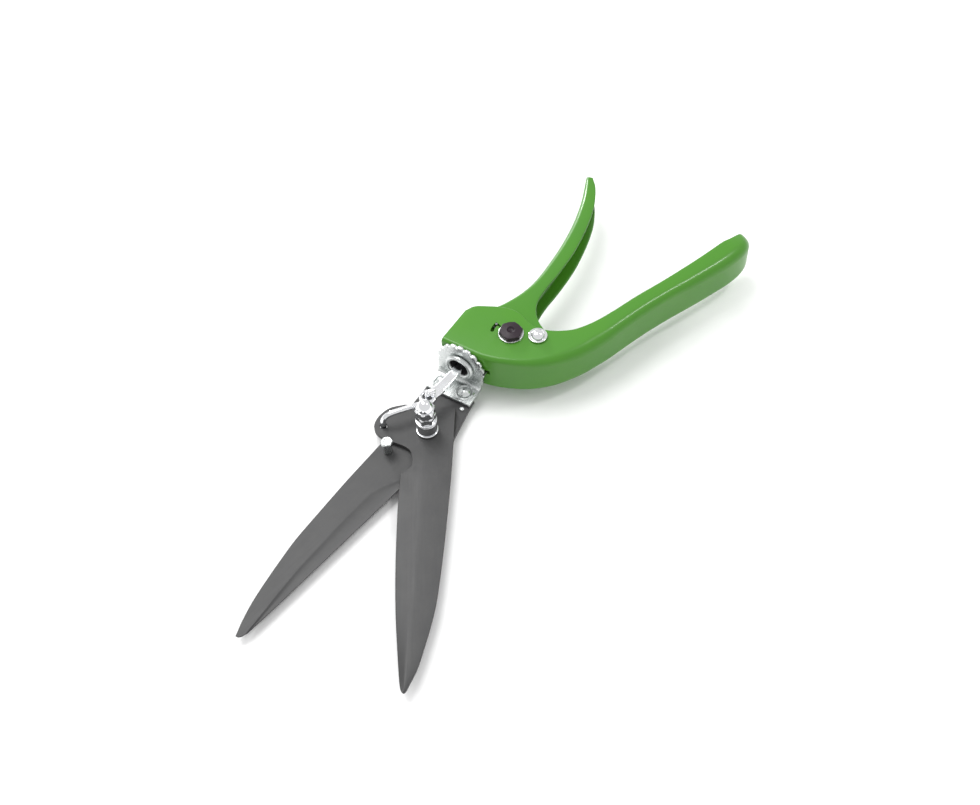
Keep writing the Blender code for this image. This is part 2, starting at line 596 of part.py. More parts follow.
def make_pull_rod(slider, yoke_slider):
    """Rod with a button end that turns in the yoke and a flattened eye that pulls the link."""
    button = (-17.4, -15.5)
    rod = wire("pull_rod", [(button[1] - 0.6, 0, 0), (3.0, 0, 0)], ROD_R, ZINC, 4)
    boolean(rod, cylinder("rod_button", 3.1, *button, (0, 0), 24, "X"), "UNION")
    left = [(EYE[0], EYE[1] + 3.2), (18.5, 1.1), (12.0, 2.0), (4.0, 2.3), (-2.0, 2.3), (-4.0, 1.2)]
    right = [(-4.0, -1.2), (-2.0, -2.3), (4.0, -2.3), (12.0, -3.0), (18.5, -4.2), (EYE[0], EYE[1] - 3.2)]
    boolean(rod, plate("rod_bar", [left + right], -BAR_T / 2, BAR_T / 2, ZINC), "UNION")
    boolean(rod, cylinder("rod_eye", EYE_R, -EYE_T / 2, EYE_T / 2, EYE, 32), "UNION")
    boolean(rod, cylinder("eye_hole", LINK_R + OPEN_PIVOT_PLAY, -EYE_T, EYE_T, EYE, 24))
    attach(slider, rod)
    middle = PIN[1] - LEVER_ARM * (1 - math.cos(SQUEEZE / 2)) / 2
    half = (3.6, LEVER_HALF - LEVER_WALL - 1.2)
    front = button[1] + 2.0
    low, high = (PIN[0] - 3.4, middle - half[0], -half[1]), (front, middle + half[0], half[1])
    yoke = box("rod_yoke", low, high, SPRING)
    low, high = (PIN[0] - 6, middle - 9, 1.5 - half[1]), (button[1] + FIT, middle + 9, half[1] - 1.5)
    boolean(yoke, box("yoke_inside", low, high))
    boolean(yoke, cylinder("yoke_bore", ROD_R + RUN, front - 4, front + 2, (0, 0), 24, "X"))
    swing = LEVER_ARM * (1 - math.cos(SQUEEZE / 2)) / 2
    reach = PIN_R + RUN
    end = swing + reach
    corners = [(-reach, -end), (reach, -end), (reach, end), (-reach, end)]
    slot = rounded([(PIN[0] + x, middle + y, reach * 0.98) for x, y in corners])
    boolean(yoke, plate("yoke_slot", [slot], -half[1] - 1, half[1] + 1, ZINC))
    attach(yoke_slider, yoke)


def blade_cut(name, heel, tip, low, high, side):
    """A wedge that grinds a bevel along the cutting edge, from the face at high down to low."""
    edge = Vector(tip) - Vector(heel)
    across = Vector((-edge.y, edge.x)).normalized() * side
    points = []
    for centre in (Vector(heel), Vector(tip)):
        past = 2 * high - low
        for reach, z in ((-3, low), (0, low), (BEVEL_W, high), (BEVEL_W, past), (-3, past)):
            spot = centre + across * reach
            points.append(Vector((spot.x, spot.y, z)) * MM)
    work = bmesh.new()
    for point in points:
        work.verts.new(point)
    bmesh.ops.convex_hull(work, input=work.verts)
    bmesh.ops.recalc_face_normals(work, faces=work.faces)
    mesh = bpy.data.meshes.new(name)
    work.to_mesh(mesh)
    work.free()
    return add_object(name, mesh, ZINC)


def along_blade(direction, *spots):
    """Blade outline points: (distance from the pivot along the blade, offset to its left)."""
    forward = Vector((math.cos(math.radians(direction)), math.sin(math.radians(direction))))
    left = Vector((-forward.y, forward.x))
    return [tuple(Vector(BLADE_PIVOT) + forward * a + left * b) for a, b in spots]


def make_lower_blade(swivel):
    n = LOWER_LENGTH
    cutting = along_blade(
        LOWER_AT, (26.0, 11.3), (n - 42.0, 11.5), (n - 10.0, 11.4), (n - 3.0, 10.9), (n - 0.4, 9.6)
    )
    outer = along_blade(
        LOWER_AT, (n, 8.2), (n - 2.6, 7.0), (n - 7.0, 5.0), (n - 16.0, 1.7), (n - 26.6, -1.2),
        (n - 38.0, -3.9), (n - 51.0, -6.6), (0.479 * n, -8.9), (0.3383 * n, -11.0), (0.2365 * n, -12.2),
    )
    tang = [(51.4, -14.9), (42.0, -14.7), (33.0, -14.5), (26.0, -14.3), (19.0, -14.1), (2.6, -13.8)]
    back = [(2.6, 11.0), (11.8, 11.5), (26.0, 13.4), (36.0, 14.8), (47.0, 13.6), (56.0, 10.6)]
    outline = [tuple(p) for p in smooth_path(outer + tang[:5], 3)] + [tang[5]] + back + cutting
    holes = [
        circle(*BLADE_PIVOT, BOLT_R + FIT, 32), circle(*STOP, STOP_SHANK_R + FIT, 24),
        circle(*DOWEL, 1.0 + FIT, 16),
    ] + [circle(*spot, FOOT_RIVET_R + FIT, 24) for name, spot in FOOT_RIVETS]
    blade = plate("lower_blade", [outline] + holes, LOWER_BOTTOM, LOWER_TOP, BLADE)
    heel, tip = along_blade(LOWER_AT, (20, 11.5), (n + 4, 11.5))
    boolean(blade, blade_cut("lower_bevel", heel, tip, LOWER_TOP - EDGE_T, LOWER_BOTTOM, -1))
    dowel = cylinder("tang_dowel", 1.0, LOWER_BOTTOM + 0.2, LOWER_TOP + 0.5, DOWEL, 16)
    attach(swivel, blade, dowel)


def make_upper_blade(blade_pivot):
    n = UPPER_LENGTH
    cutting = along_blade(
        UPPER_AT, (23.6, -13.0), (0.2857 * n, -14.1), (0.4643 * n, -14.9), (n - 53.0, -15.1),
        (n - 36.0, -14.8), (n - 18.0, -13.9), (n - 5.6, -13.1), (n - 1.4, -12.4), (n, -11.4),
    )
    back = along_blade(
        UPPER_AT, (n - 0.6, -10.2), (n - 3.4, -8.8), (n - 10.0, -5.6), (n - 18.8, -2.7), (n - 36.8, 2.2),
        (n - 52.6, 4.8), (0.4717 * n, 7.1), (0.3304 * n, 9.1), (24.4, 11.0), (7.0, 12.3), (-6.6, 13.3),
        (-12.0, 13.7),
    )
    ear = [
        (16.8, 4.4), (20.2, -1.8), (23.2, -9.0), (26.9, -16.2), (32.0, -21.4), (38.0, -23.4), (43.4, -22.9),
        (46.9, -20.4), (48.5, -16.7), (48.6, -12.0), (48.0, -7.0), (47.7, -2.4), (48.6, 1.0), (50.9, 3.2),
        (53.2, 4.9), (55.6, 5.7), (58.4, 4.9),
    ]
    outline = cutting + [tuple(p) for p in smooth_path(back, 3)] + [tuple(p) for p in smooth_path(ear, 3)]
    holes = [circle(*BLADE_PIVOT, BOLT_R + RUN, 32), circle(*EAR, LINK_R + RUN + 0.2, 24)]
    blade = plate("upper_blade", [outline] + holes, UPPER_BOTTOM, UPPER_TOP, BLADE)
    heel, tip = along_blade(UPPER_AT, (22, -14.6), (n + 4, -13.9))
    boolean(blade, blade_cut("upper_bevel", heel, tip, UPPER_BOTTOM + EDGE_T, UPPER_TOP, 1))
    attach(blade_pivot, blade)


def make_link(link_pivot):
    x, y = EAR
    a, b = EYE
    points = [
        (x + 1.9, y - 3.6, LOWER_TOP - 1.5), (x + 0.9, y - 1.8, LOWER_TOP - 1.5),
        (x + 0.1, y - 0.3, LOWER_TOP - 1.0), (x, y, UPPER_BOTTOM + 0.4), (x, y, UPPER_TOP + 2.2),
        (x - 0.4, y + 0.4, UPPER_TOP + 4.8), (x - 1.8, y + 1.5, UPPER_TOP + 6.8),
        (x - 4.6, y + 3.8, UPPER_TOP + 7.8), (x - 9.0, y + 7.4, UPPER_TOP + 7.9),
        (a + 5.6, b - 4.6, -3.3), (a + 2.8, b - 2.3, -3.4), (a + 0.8, b - 0.7, -3.3), (a, b, -2.2),
        (a, b, -0.4), (a, b, 2.2), (a - 0.4, b + 0.3, 3.1), (a - 1.6, b + 1.3, 3.6), (a - 2.8, b + 2.3, 3.7),
    ]
    attach(link_pivot, wire("link_wire", [tuple(p) for p in smooth_path(points, 3)], LINK_R, CHROME, 3))


def make_pivot_bolt(swivel):
    """Bolt up through both blades, with a deep brake collar under a nut and a cap nut."""
    z = UPPER_TOP + FIT
    levels = {}
    for name, thick in STACK:
        levels[name] = (z, z + thick)
        z += thick + 0.15
    centre = (*BLADE_PIVOT, 0)
    low = LOWER_BOTTOM - 0.2
    bolt = hexagon("pivot_bolt", 9.4, 0, low - BOLT_HEAD_T, low, BLADE_PIVOT, ZINC, turn=20)
    boolean(bolt, cylinder("bolt_shank", BOLT_R, low - 1, levels["cap"][0] + 4.0, BLADE_PIVOT), "UNION")
    washer = turned("blade_washer", ring_profile(BOLT_R + FIT, 5.4, *levels["washer"], 0.3), CHROME, centre)
    collar = turned("brake_collar", ring_profile(BOLT_R + FIT, 5.0, *levels["collar"], 0.5), CHROME, centre)
    seat = turned("nut_washer", ring_profile(BOLT_R + FIT, 5.2, *levels["seat"], 0.2), CHROME, centre)
    nut = hexagon("lock_nut", 8.6, BOLT_R + FIT, *levels["nut"], BLADE_PIVOT, CHROME, turn=8)
    foot, top = levels["cap"]
    shoulder = foot + 0.5 * (top - foot)
    cap = hexagon("cap_nut", 8.8, 0, foot, shoulder, BLADE_PIVOT, CHROME, turn=20)
    dome = [
        (4.0 * math.cos(a), shoulder - 0.4 + (top - shoulder + 0.4) * math.sin(a))
        for a in np.radians([75, 60, 45, 30, 15, 0])
    ]
    profile = [(0, shoulder - 1.4), (0, top)] + dome + [(4.0, shoulder - 1.4)]
    boolean(cap, turned("cap_dome", profile, CHROME, centre), "UNION")
    boolean(cap, cylinder("cap_bore", BOLT_R + FIT, foot - 1, foot + 4.0 + FIT, BLADE_PIVOT))
    attach(swivel, bolt, washer, collar, seat, nut, cap)


def make_stop_bolt(swivel):
    sleeve = (LOWER_TOP + FIT, LOWER_TOP + 5.0)
    head = (sleeve[1] + 0.15, sleeve[1] + 3.5)
    bolt = hexagon("stop_bolt", 5.2, 0, *head, STOP, ZINC, turn=10, chamfer=0.4)
    tail = LOWER_BOTTOM - 2.3
    boolean(bolt, cylinder("stop_shank", STOP_SHANK_R, tail, head[0] + 0.5, STOP, 24), "UNION")
    profile = ring_profile(STOP_SHANK_R + FIT, STOP_R, *sleeve)
    bush = turned("stop_sleeve", profile, ZINC, (*STOP, 0), steps=28)
    low = (tail + 0.1, LOWER_BOTTOM - 0.2)
    nut = hexagon("stop_nut", 5.2, STOP_SHANK_R + FIT, *low, STOP, ZINC, 30, 0.3)
    attach(swivel, bolt, bush, nut)


clear_scene()
PARTS = make_collection("grass_shears")
CUTTERS = make_collection("grass_shears_cutters")
frame = joint("shears_frame", 0, 0)
frame.location = Vector((SETBACK, 0, HEAD_HALF)) * MM
swivel_axis = joint("swivel_axis", 0, 0, parent=frame)
handle_axis = joint("handle_axis", *PIVOT, parent=frame)
knob_axis = joint("knob_axis", *KNOB, parent=frame)
yoke_axis = joint("yoke_axis", PIN[0], 0, parent=frame)
blade_axis = joint("blade_axis", *BLADE_PIVOT, parent=swivel_axis)
rod_axis = joint("rod_axis", 0, 0, parent=swivel_axis)
link_axis = joint("link_axis", *EAR, parent=blade_axis)

make_fixed_handle(frame)
make_handle_pivot(frame)
make_return_spring(frame)
make_index_pawl(frame)
make_lock(knob_axis, frame)
make_moving_handle(handle_axis)
make_index_bracket(swivel_axis)
make_swivel_tube(swivel_axis)
make_pull_rod(rod_axis, yoke_axis)
make_lower_blade(swivel_axis)
make_pivot_bolt(swivel_axis)
make_stop_bolt(swivel_axis)
make_upper_blade(blade_axis)
make_link(link_axis)
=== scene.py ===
"""One-hand grass shears with a swivelling blade head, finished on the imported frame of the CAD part."""

import math

import bmesh
import bpy
import numpy as np
from mathutils import Matrix, Vector


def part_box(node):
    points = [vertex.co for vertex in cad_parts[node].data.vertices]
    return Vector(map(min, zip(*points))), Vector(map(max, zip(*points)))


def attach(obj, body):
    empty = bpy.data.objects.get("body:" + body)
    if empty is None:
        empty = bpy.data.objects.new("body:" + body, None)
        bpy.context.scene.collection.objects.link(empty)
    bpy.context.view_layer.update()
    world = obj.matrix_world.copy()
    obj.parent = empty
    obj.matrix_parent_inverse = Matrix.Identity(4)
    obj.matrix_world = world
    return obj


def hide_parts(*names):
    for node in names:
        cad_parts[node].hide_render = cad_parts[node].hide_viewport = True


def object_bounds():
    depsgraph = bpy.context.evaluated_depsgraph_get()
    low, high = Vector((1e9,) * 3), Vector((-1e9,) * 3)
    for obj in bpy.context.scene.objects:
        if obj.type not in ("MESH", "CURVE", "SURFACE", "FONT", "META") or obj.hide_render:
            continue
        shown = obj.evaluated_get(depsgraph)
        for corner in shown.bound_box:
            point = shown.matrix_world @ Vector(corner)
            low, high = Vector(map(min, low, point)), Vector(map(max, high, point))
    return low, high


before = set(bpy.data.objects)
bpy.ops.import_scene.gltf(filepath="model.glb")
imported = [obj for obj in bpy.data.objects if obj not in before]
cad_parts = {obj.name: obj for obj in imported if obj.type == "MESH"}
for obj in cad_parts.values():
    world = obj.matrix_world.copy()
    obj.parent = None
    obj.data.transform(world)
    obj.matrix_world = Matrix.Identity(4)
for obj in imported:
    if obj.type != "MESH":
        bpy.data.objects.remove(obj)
cad_box = [list(corner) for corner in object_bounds()]

# The measuring point. Sizes below are millimetres from HOME, the centre of the swivelling disc on its axis:
# X runs along the axis to the blade tips, Y to the fixed handle's back, and Z up out of the upper cheek.
MM = 0.001
HEAD_FRONT = -1.8
shell_low, shell_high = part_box("fixed_handle")
tube_low, tube_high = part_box("swivel_tube")
HOME = Vector((
    shell_high.x - HEAD_FRONT * MM, (tube_low.y + tube_high.y) / 2, (shell_low.z + shell_high.z) / 2))


# ---------------------------------------------------------------------------------------------------
# Fixed handle: one steel blank pressed into a channel, from the head's front wall round to a closed end,
# then powder enamelled leaf green. The cheeks are flat, and the back runs over in one generous bend.
# ---------------------------------------------------------------------------------------------------
FIXED_HALF, FIXED_WALL = 11.2, 1.5
GRIP_DOME, GRIP_TOWARDS = 17.0, 158.0
# Along the channel: back x, back y, rim x, rim y, bend radius.
FIXED_STATIONS = [
    (-1.8, -11.5, -23.5, -10.7, 1.9), (-1.8, -6.5, -27.8, -8.2, 1.9), (-1.8, -1.0, -31.0, -2.6, 2.0),
    (-1.8, 5.0, -33.8, 3.6, 2.0), (-2.1, 11.0, -35.0, 9.4, 2.1), (-3.2, 17.0, -34.3, 14.2, 2.3),
    (-5.0, 22.8, -32.4, 18.6, 2.5), (-7.6, 29.4, -31.0, 23.2, 3.0), (-11.4, 36.0, -31.2, 27.8, 3.6),
    (-16.5, 42.0, -32.8, 32.4, 4.2), (-23.0, 47.5, -35.4, 37.0, 4.8), (-31.2, 52.8, -39.6, 42.0, 5.4),
    (-42.6, 57.8, -47.6, 47.4, 5.8), (-55.0, 62.0, -58.4, 52.4, 6.2), (-69.0, 67.2, -72.0, 57.8, 6.4),
    (-82.0, 72.8, -85.4, 63.8, 6.6), (-94.0, 78.8, -98.4, 69.2, 6.9), (-106.0, 84.4, -110.6, 74.0, 7.0),
    (-116.4, 88.9, -119.8, 77.3, 7.2), (-125.0, 91.3, -125.6, 79.4, 7.0), (-131.2, 91.5, -128.6, 81.0, 6.6),
    (-135.8, 89.8, -130.4, 81.8, 6.0), (-138.4, 87.0, -131.4, 82.3, 5.2), (-138.8, 84.8, -131.9, 82.6, 4.6),
]
PIVOT = (-25.9, 28.4)
KNOB = (-21.1, 16.2)
SLOT_SWEEP = (-106.0, -74.0)


def flowing(stations, per_span=8):
    """Curve through the stations: between two of them every value follows the cubic whose slope at a
    station is half the step from the station before to the station after."""
    nodes = np.array(stations, float)
    nodes = np.vstack([2 * nodes[0] - nodes[1], nodes, 2 * nodes[-1] - nodes[-2]])
    count = len(nodes) - 3
    a, b, c, d = (nodes[i:count + i, None, :] for i in range(4))
    t = np.linspace(0, 1, per_span, endpoint=False)[None, :, None]
    spans = 2 * b + (c - a) * t + (2 * a - 5 * b + 4 * c - d) * t**2 + (3 * b - a - 3 * c + d) * t**3
    return np.vstack([spans.reshape(-1, nodes.shape[1]) / 2, nodes[-2]])


def surface(name, *grids, corner=34):
    """Mesh of grids of points in millimetres from HOME, each rows x columns x 3. The columns of a grid
    close on themselves, and rows that shrink to a point or a line close its ends. Doubled points are
    merged, faces are turned outwards, and edges sharper than the corner angle stay crisp."""
    points, faces, start = [], [], 0
    for grid in grids:
        rows, columns = grid.shape[:2]
        index = start + np.arange(rows * columns).reshape(rows, columns)
        after = np.roll(index, -1, axis=1)
        faces.append(np.stack([index[:-1], after[:-1], after[1:], index[1:]], axis=-1).reshape(-1, 4))
        points.append(grid.reshape(-1, 3))
        start += rows * columns
    mesh = bpy.data.meshes.new(name)
    mesh.from_pydata(np.vstack(points) * MM + np.array(HOME), [], np.vstack(faces))
    work = bmesh.new()
    work.from_mesh(mesh)
    bmesh.ops.remove_doubles(work, verts=work.verts, dist=0.002 * MM)
    bmesh.ops.recalc_face_normals(work, faces=work.faces)
    work.to_mesh(mesh)
    work.free()
    piece = bpy.data.objects.new(name, mesh)
    bpy.context.scene.collection.objects.link(piece)
    crisp(piece, corner)
    return piece


def crisp(piece, corner=34):
    """Shades a piece smooth, except along edges that turn by more than the corner angle."""
    piece.data.shade_smooth()
    piece.data.set_sharp_from_angle(angle=math.radians(corner))


def channel(name, stations, half, wall, dome=0.0, per_span=8):
    """Pressed channel. At each step a closed section is set from the back point towards the rim point:
    along the back, round the bend's quarter circle, along the cheek, round the rim's half circle, and
    back inside one wall thickness in. Both ends close on the middle of the wall. Over the last length
    before the tip, dome, the height falls along a quarter ellipse to half as much."""
    path = flowing(stations, per_span)
    back, rim, bend = path[:, 0:2], path[:, 2:4], path[:, 4:5]
    across = rim - back
    depth = np.linalg.norm(across, axis=1, keepdims=True)
    across = across / depth
    run = np.gradient(back, axis=0)
    run = run / np.linalg.norm(run, axis=1, keepdims=True)
    slant = 1 / np.abs(run[:, :1] * across[:, 1:] - run[:, 1:] * across[:, :1])
    bend = np.minimum(bend, 0.45 * depth / slant)
    turn = np.radians(np.linspace(180, 90, 13))
    lip = np.radians(np.linspace(90, -90, 9))
    outer = (bend + bend * np.cos(turn)) * slant, half - bend + bend * np.sin(turn)
    edge = depth - wall / 2 + wall / 2 * np.cos(lip), half - wall / 2 + wall / 2 * np.sin(lip) + 0 * depth
    inner = (bend + (bend - wall) * np.cos(turn)) * slant, half - bend + (bend - wall) * np.sin(turn)
    reach = np.hstack([outer[0], edge[0], inner[0][:, ::-1]])
    height = np.hstack([outer[1], edge[1], inner[1][:, ::-1]])
    reach = np.hstack([reach, reach[:, ::-1]])
    height = np.hstack([height, -height[:, ::-1]])
    plan = back[:, None, :] + across[:, None, :] * reach[:, :, None]
    if dome:
        axis = np.array([math.cos(math.radians(GRIP_TOWARDS)), math.sin(math.radians(GRIP_TOWARDS))])
        closing = 1 - np.clip(((back @ axis).max() - plan @ axis) / dome, 0, 1)
        height = height * (1 + np.sqrt(1 - closing**2)) / 2
    rings = np.dstack([plan, height])
    middle = rings.shape[1] // 2
    ends = [
        np.concatenate([
            (ring[:middle] + ring[:middle][::-1]) / 2, (ring[middle:] + ring[middle:][::-1]) / 2])
        for ring in (rings[0], rings[-1])
    ]
    return surface(name, np.concatenate([ends[0][None], rings, ends[1][None]]))


def spun(profile, centre, along="Z", steps=72, flats=0.0, turn=0.0):
    """Grid of a turned piece: each (radius, height) point of the profile goes once round the axis. With
    flats, no radius passes the hexagon that is that wide across its flats."""
    profile = np.array(profile, float)
    angle = np.linspace(0, 2 * math.pi, steps, endpoint=False)
    radius = np.repeat(profile[:, :1], steps, axis=1)
    if flats:
        side = np.mod(angle - math.radians(turn), math.pi / 3) - math.pi / 6
        radius = np.minimum(radius, flats / 2 / np.cos(side))
    height = np.repeat(profile[:, 1:2], steps, axis=1)
    x, y = radius * np.cos(angle), radius * np.sin(angle)
    if along == "X":
        return np.dstack([centre[0] + height, centre[1] + x, centre[2] + y])
    return np.dstack([centre[0] + x, centre[1] + y, centre[2] + height])


def eased(corners, radius, steps=5, closed=True):
    """Profile whose corners are rounded: each corner becomes the quadratic curve from a point before it
    to a point after it, one radius away or less than half a side."""
    points = np.array(corners, float)
    before = np.roll(points, 1, axis=0) - points
    after = np.roll(points, -1, axis=0) - points
    sides = [np.linalg.norm(v, axis=1, keepdims=True) for v in (before, after)]
    sides = [np.maximum(side, 1e-9) for side in sides]
    start = points + before / sides[0] * np.minimum(radius, 0.45 * sides[0])
    end = points + after / sides[1] * np.minimum(radius, 0.45 * sides[1])
    t = np.linspace(0, 1, steps)[None, :, None]
    curve = (1 - t) ** 2 * start[:, None] + 2 * t * (1 - t) * points[:, None] + t**2 * end[:, None]
    if closed:
        return np.vstack([curve.reshape(-1, 2), curve[0, :1]])
    return np.vstack([points[:1], curve[1:-1].reshape(-1, 2), points[-1:]])


def ring(inner, outer, low, high, radius=0.25):
    """Closed profile of a washer or sleeve with eased edges."""
    return eased([(inner, low), (inner, high), (outer, high), (outer, low)], radius)


def cut(piece, *tools):
    """Takes each closed tool out of the piece, as a punched or drilled hole, and drops the tools."""
    for tool in tools:
        modifier = piece.modifiers.new(tool.name, "BOOLEAN")
        modifier.solver = "EXACT"
        modifier.object = tool
    bpy.context.view_layer.update()
    shaped = piece.evaluated_get(bpy.context.evaluated_depsgraph_get())
    mesh = bpy.data.meshes.new_from_object(shaped)
    piece.modifiers.clear()
    piece.data = mesh
    for tool in tools:
        bpy.data.objects.remove(tool)
    crisp(piece)


def drill(radius, low, high, centre, along="Z"):
    """Round tool for a hole."""
    return surface("drill", spun([(0, low), (radius, low), (radius, high), (0, high)], centre, along))


def bar_tool(outline, low, high):
    """Tool with a flat outline of (x, y) points, from one height to the other."""
    flat = np.array(outline, float)
    middle = np.repeat(flat.mean(axis=0)[None], len(flat), axis=0)
    levels = [(middle, low), (flat, low), (flat, high), (middle, high)]
    return surface("tool", np.array([np.hstack([p, np.full((len(p), 1), z)]) for p, z in levels]))


def arc(centre, radius, start, end, count=16):
    """Points along an arc, with its angles in degrees."""
    angle = np.radians(np.linspace(start, end, count))
    return np.column_stack([centre[0] + radius * np.cos(angle), centre[1] + radius * np.sin(angle)])


def finish_piece(piece, finish, body, slot, *nodes):
    """Gives a piece its finish, fixes it to its body, and lets it stand for its CAD nodes."""
    piece.data.materials.clear()
    piece.data.materials.append(finish)
    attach(piece, body)
    if nodes:
        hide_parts(*nodes)


def linear(code):
    """Linear colour of an sRGB hex value: dark values divide by 12.92, and the rest follow a 2.4 power."""
    parts = np.array([int(code[i:i + 2], 16) / 255 for i in (1, 3, 5)])
    return (*np.where(parts <= 0.04045, parts / 12.92, ((parts + 0.055) / 1.055) ** 2.4), 1.0)


def add_node(tree, kind, inputs, **settings):
    """Adds a node with its settings. Each input is a value, or another node's output to link."""
    made = tree.nodes.new(kind)
    for key, value in settings.items():
        setattr(made, key, value)
    for key, value in inputs.items():
        if isinstance(value, bpy.types.NodeSocket):
            tree.links.new(value, made.inputs[key])
        else:
            made.inputs[key].default_value = value
    return made


def new_finish(name, metallic=0.0, ior=None, coat=0.0, coat_roughness=0.05):
    """A material with an empty Principled shader, and its tree, shader and Object coordinates."""
    made = bpy.data.materials.new(name)
    made.use_nodes = True
    tree = made.node_tree
    shader = tree.nodes["Principled BSDF"]
    shader.inputs["Metallic"].default_value = metallic
    if ior:
        shader.inputs["IOR"].default_value = ior
    shader.inputs["Coat Weight"].default_value = coat
    shader.inputs["Coat Roughness"].default_value = coat_roughness
    return made, tree, shader, tree.nodes.new("ShaderNodeTexCoord").outputs["Object"]


def powder_enamel(name, main, deep):
    """Baked powder enamel on pressed steel: an even leaf green that drifts slightly in depth over a few
    centimetres, a clear gloss skin, and a faint orange peel about 1.5 mm across that softens glints."""
    made, tree, shader, place = new_finish(name, ior=1.5, coat=0.2, coat_roughness=0.08)
    shader.inputs["Specular IOR Level"].default_value = 0.36
    drift = add_node(tree, "ShaderNodeTexNoise", {"Vector": place, "Scale": 45.0, "Detail": 3.0})
    spread = add_node(tree, "ShaderNodeMapRange", {
        "Value": drift.outputs["Fac"], "From Min": 0.35, "From Max": 0.65, "To Min": 0.0, "To Max": 0.35})
    colour = add_node(tree, "ShaderNodeMix", {
        "Factor": spread.outputs["Result"], "A": linear(main), "B": linear(deep)}, data_type="RGBA")
    tree.links.new(colour.outputs["Result"], shader.inputs["Base Color"])
    peel = add_node(tree, "ShaderNodeTexNoise", {"Vector": place, "Scale": 650.0, "Detail": 2.0})
    skin = add_node(tree, "ShaderNodeMapRange", {
        "Value": drift.outputs["Fac"], "From Min": 0.3, "From Max": 0.7, "To Min": 0.3, "To Max": 0.38})
    tree.links.new(skin.outputs["Result"], shader.inputs["Roughness"])
    bump = add_node(tree, "ShaderNodeBump", {
        "Height": peel.outputs["Fac"], "Strength": 0.22, "Distance": 0.00008})
    tree.links.new(bump.outputs["Normal"], shader.inputs["Normal"])
    tree.links.new(bump.outputs["Normal"], shader.inputs["Coat Normal"])
    return made


enamel = powder_enamel("leaf_green_powder_enamel", "#44821C", "#3B7A1A")

fixed = channel("fixed_handle_shell", FIXED_STATIONS, FIXED_HALF, FIXED_WALL, dome=GRIP_DOME)
# The curved slot beside the knob, as rows of (angle, inner radius, outer radius) about the knob: a short
# leg towards the knob, the slot itself 1.8 mm wide, and a round end.
SLOT_R, SLOT_HALF = 9.4, 0.9
round_end = np.radians(np.linspace(0, 90, 8))
slot_rows = np.array([
    (SLOT_SWEEP[0], 8.4, 8.4), (SLOT_SWEEP[0], 6.5, 10.3), (-98.2, 6.7, 10.3),
    *[(turn, SLOT_R - SLOT_HALF, SLOT_R + SLOT_HALF) for turn in np.linspace(-98.0, SLOT_SWEEP[1], 16)],
    *np.column_stack([
        SLOT_SWEEP[1] + np.degrees(SLOT_HALF / SLOT_R) * np.sin(round_end),
        SLOT_R - SLOT_HALF * np.cos(round_end), SLOT_R + SLOT_HALF * np.cos(round_end)])])
slot_angle = np.radians(slot_rows[:, :1])
slot_radius = slot_rows[:, [1, 2, 2, 1]]
slot_height = np.repeat([[-1.0 - FIXED_WALL, -1.0 - FIXED_WALL, 1.0, 1.0]], len(slot_rows), axis=0)
slot_tool = surface("slot_tool", np.dstack([
    KNOB[0] + slot_radius * np.cos(slot_angle), KNOB[1] + slot_radius * np.sin(slot_angle),
    FIXED_HALF + slot_height]))
cut(
    fixed,
    drill(2.75, -FIXED_HALF - 1, FIXED_HALF + 1, (*PIVOT, 0)),
    drill(2.7, FIXED_HALF - FIXED_WALL - 1, FIXED_HALF + 1, (*KNOB, 0)),
    drill(6.5, HEAD_FRONT - 4, HEAD_FRONT + 2, (0, 0, 0), "X"),
    slot_tool,
    bar_tool([(-6.3, 11.1), (-0.8, 11.1), (-0.8, 14.8), (-6.3, 14.8)], -1.3, 1.3),
)
finish_piece(fixed, enamel, "fixed_handle_body", "green_enamel", "fixed_handle")


# ---------------------------------------------------------------------------------------------------
# Moving handle: a second, narrower pressed channel in the same enamel, open towards the fixed one. Its
# wide lobe lies between the head's cheeks, and a dark moulded plug closes the far end.
# ---------------------------------------------------------------------------------------------------
LEVER_HALF, LEVER_WALL = 8.2, 1.4
LEVER_STATIONS = [
    (-135.6, -4.3, -136.4, -0.6, 1.7), (-130.4, -2.5, -131.6, 3.4, 2.6), (-122.4, 0.3, -124.0, 7.4, 3.2),
    (-114.0, 2.7, -115.2, 10.7, 3.4), (-101.5, 5.4, -102.2, 13.7, 3.4), (-86.0, 7.2, -86.0, 15.9, 3.4),
    (-70.0, 7.8, -69.6, 16.2, 3.2), (-58.4, 7.4, -56.6, 15.6, 3.0), (-49.6, 5.6, -47.4, 16.2, 2.8),
    (-42.6, 3.1, -41.2, 18.8, 2.6), (-37.0, 0.4, -36.2, 23.4, 2.4), (-31.4, -3.4, -31.8, 30.2, 2.2),
    (-25.0, -6.8, -26.0, 36.4, 2.0), (-19.6, -8.4, -21.0, 36.6, 1.9), (-15.4, -9.0, -17.0, 33.6, 1.9),
]
pin_low, pin_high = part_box("rod_pin")
PIN = tuple((pin_low + pin_high) / 2 / MM - HOME / MM)[:2]

lever = channel("moving_handle_shell", LEVER_STATIONS, LEVER_HALF, LEVER_WALL)
cut(
    lever,
    drill(2.8, -LEVER_HALF - 1, LEVER_HALF + 1, (*PIVOT, 0)),
    drill(1.75, -LEVER_HALF - 1, LEVER_HALF + 1, (*PIN, 0)),
)
lever_enamel = powder_enamel("moving_handle_powder_enamel", "#42801C", "#39751A")
finish_piece(lever, lever_enamel, "moving_handle_body", "lever_enamel", "moving_handle")


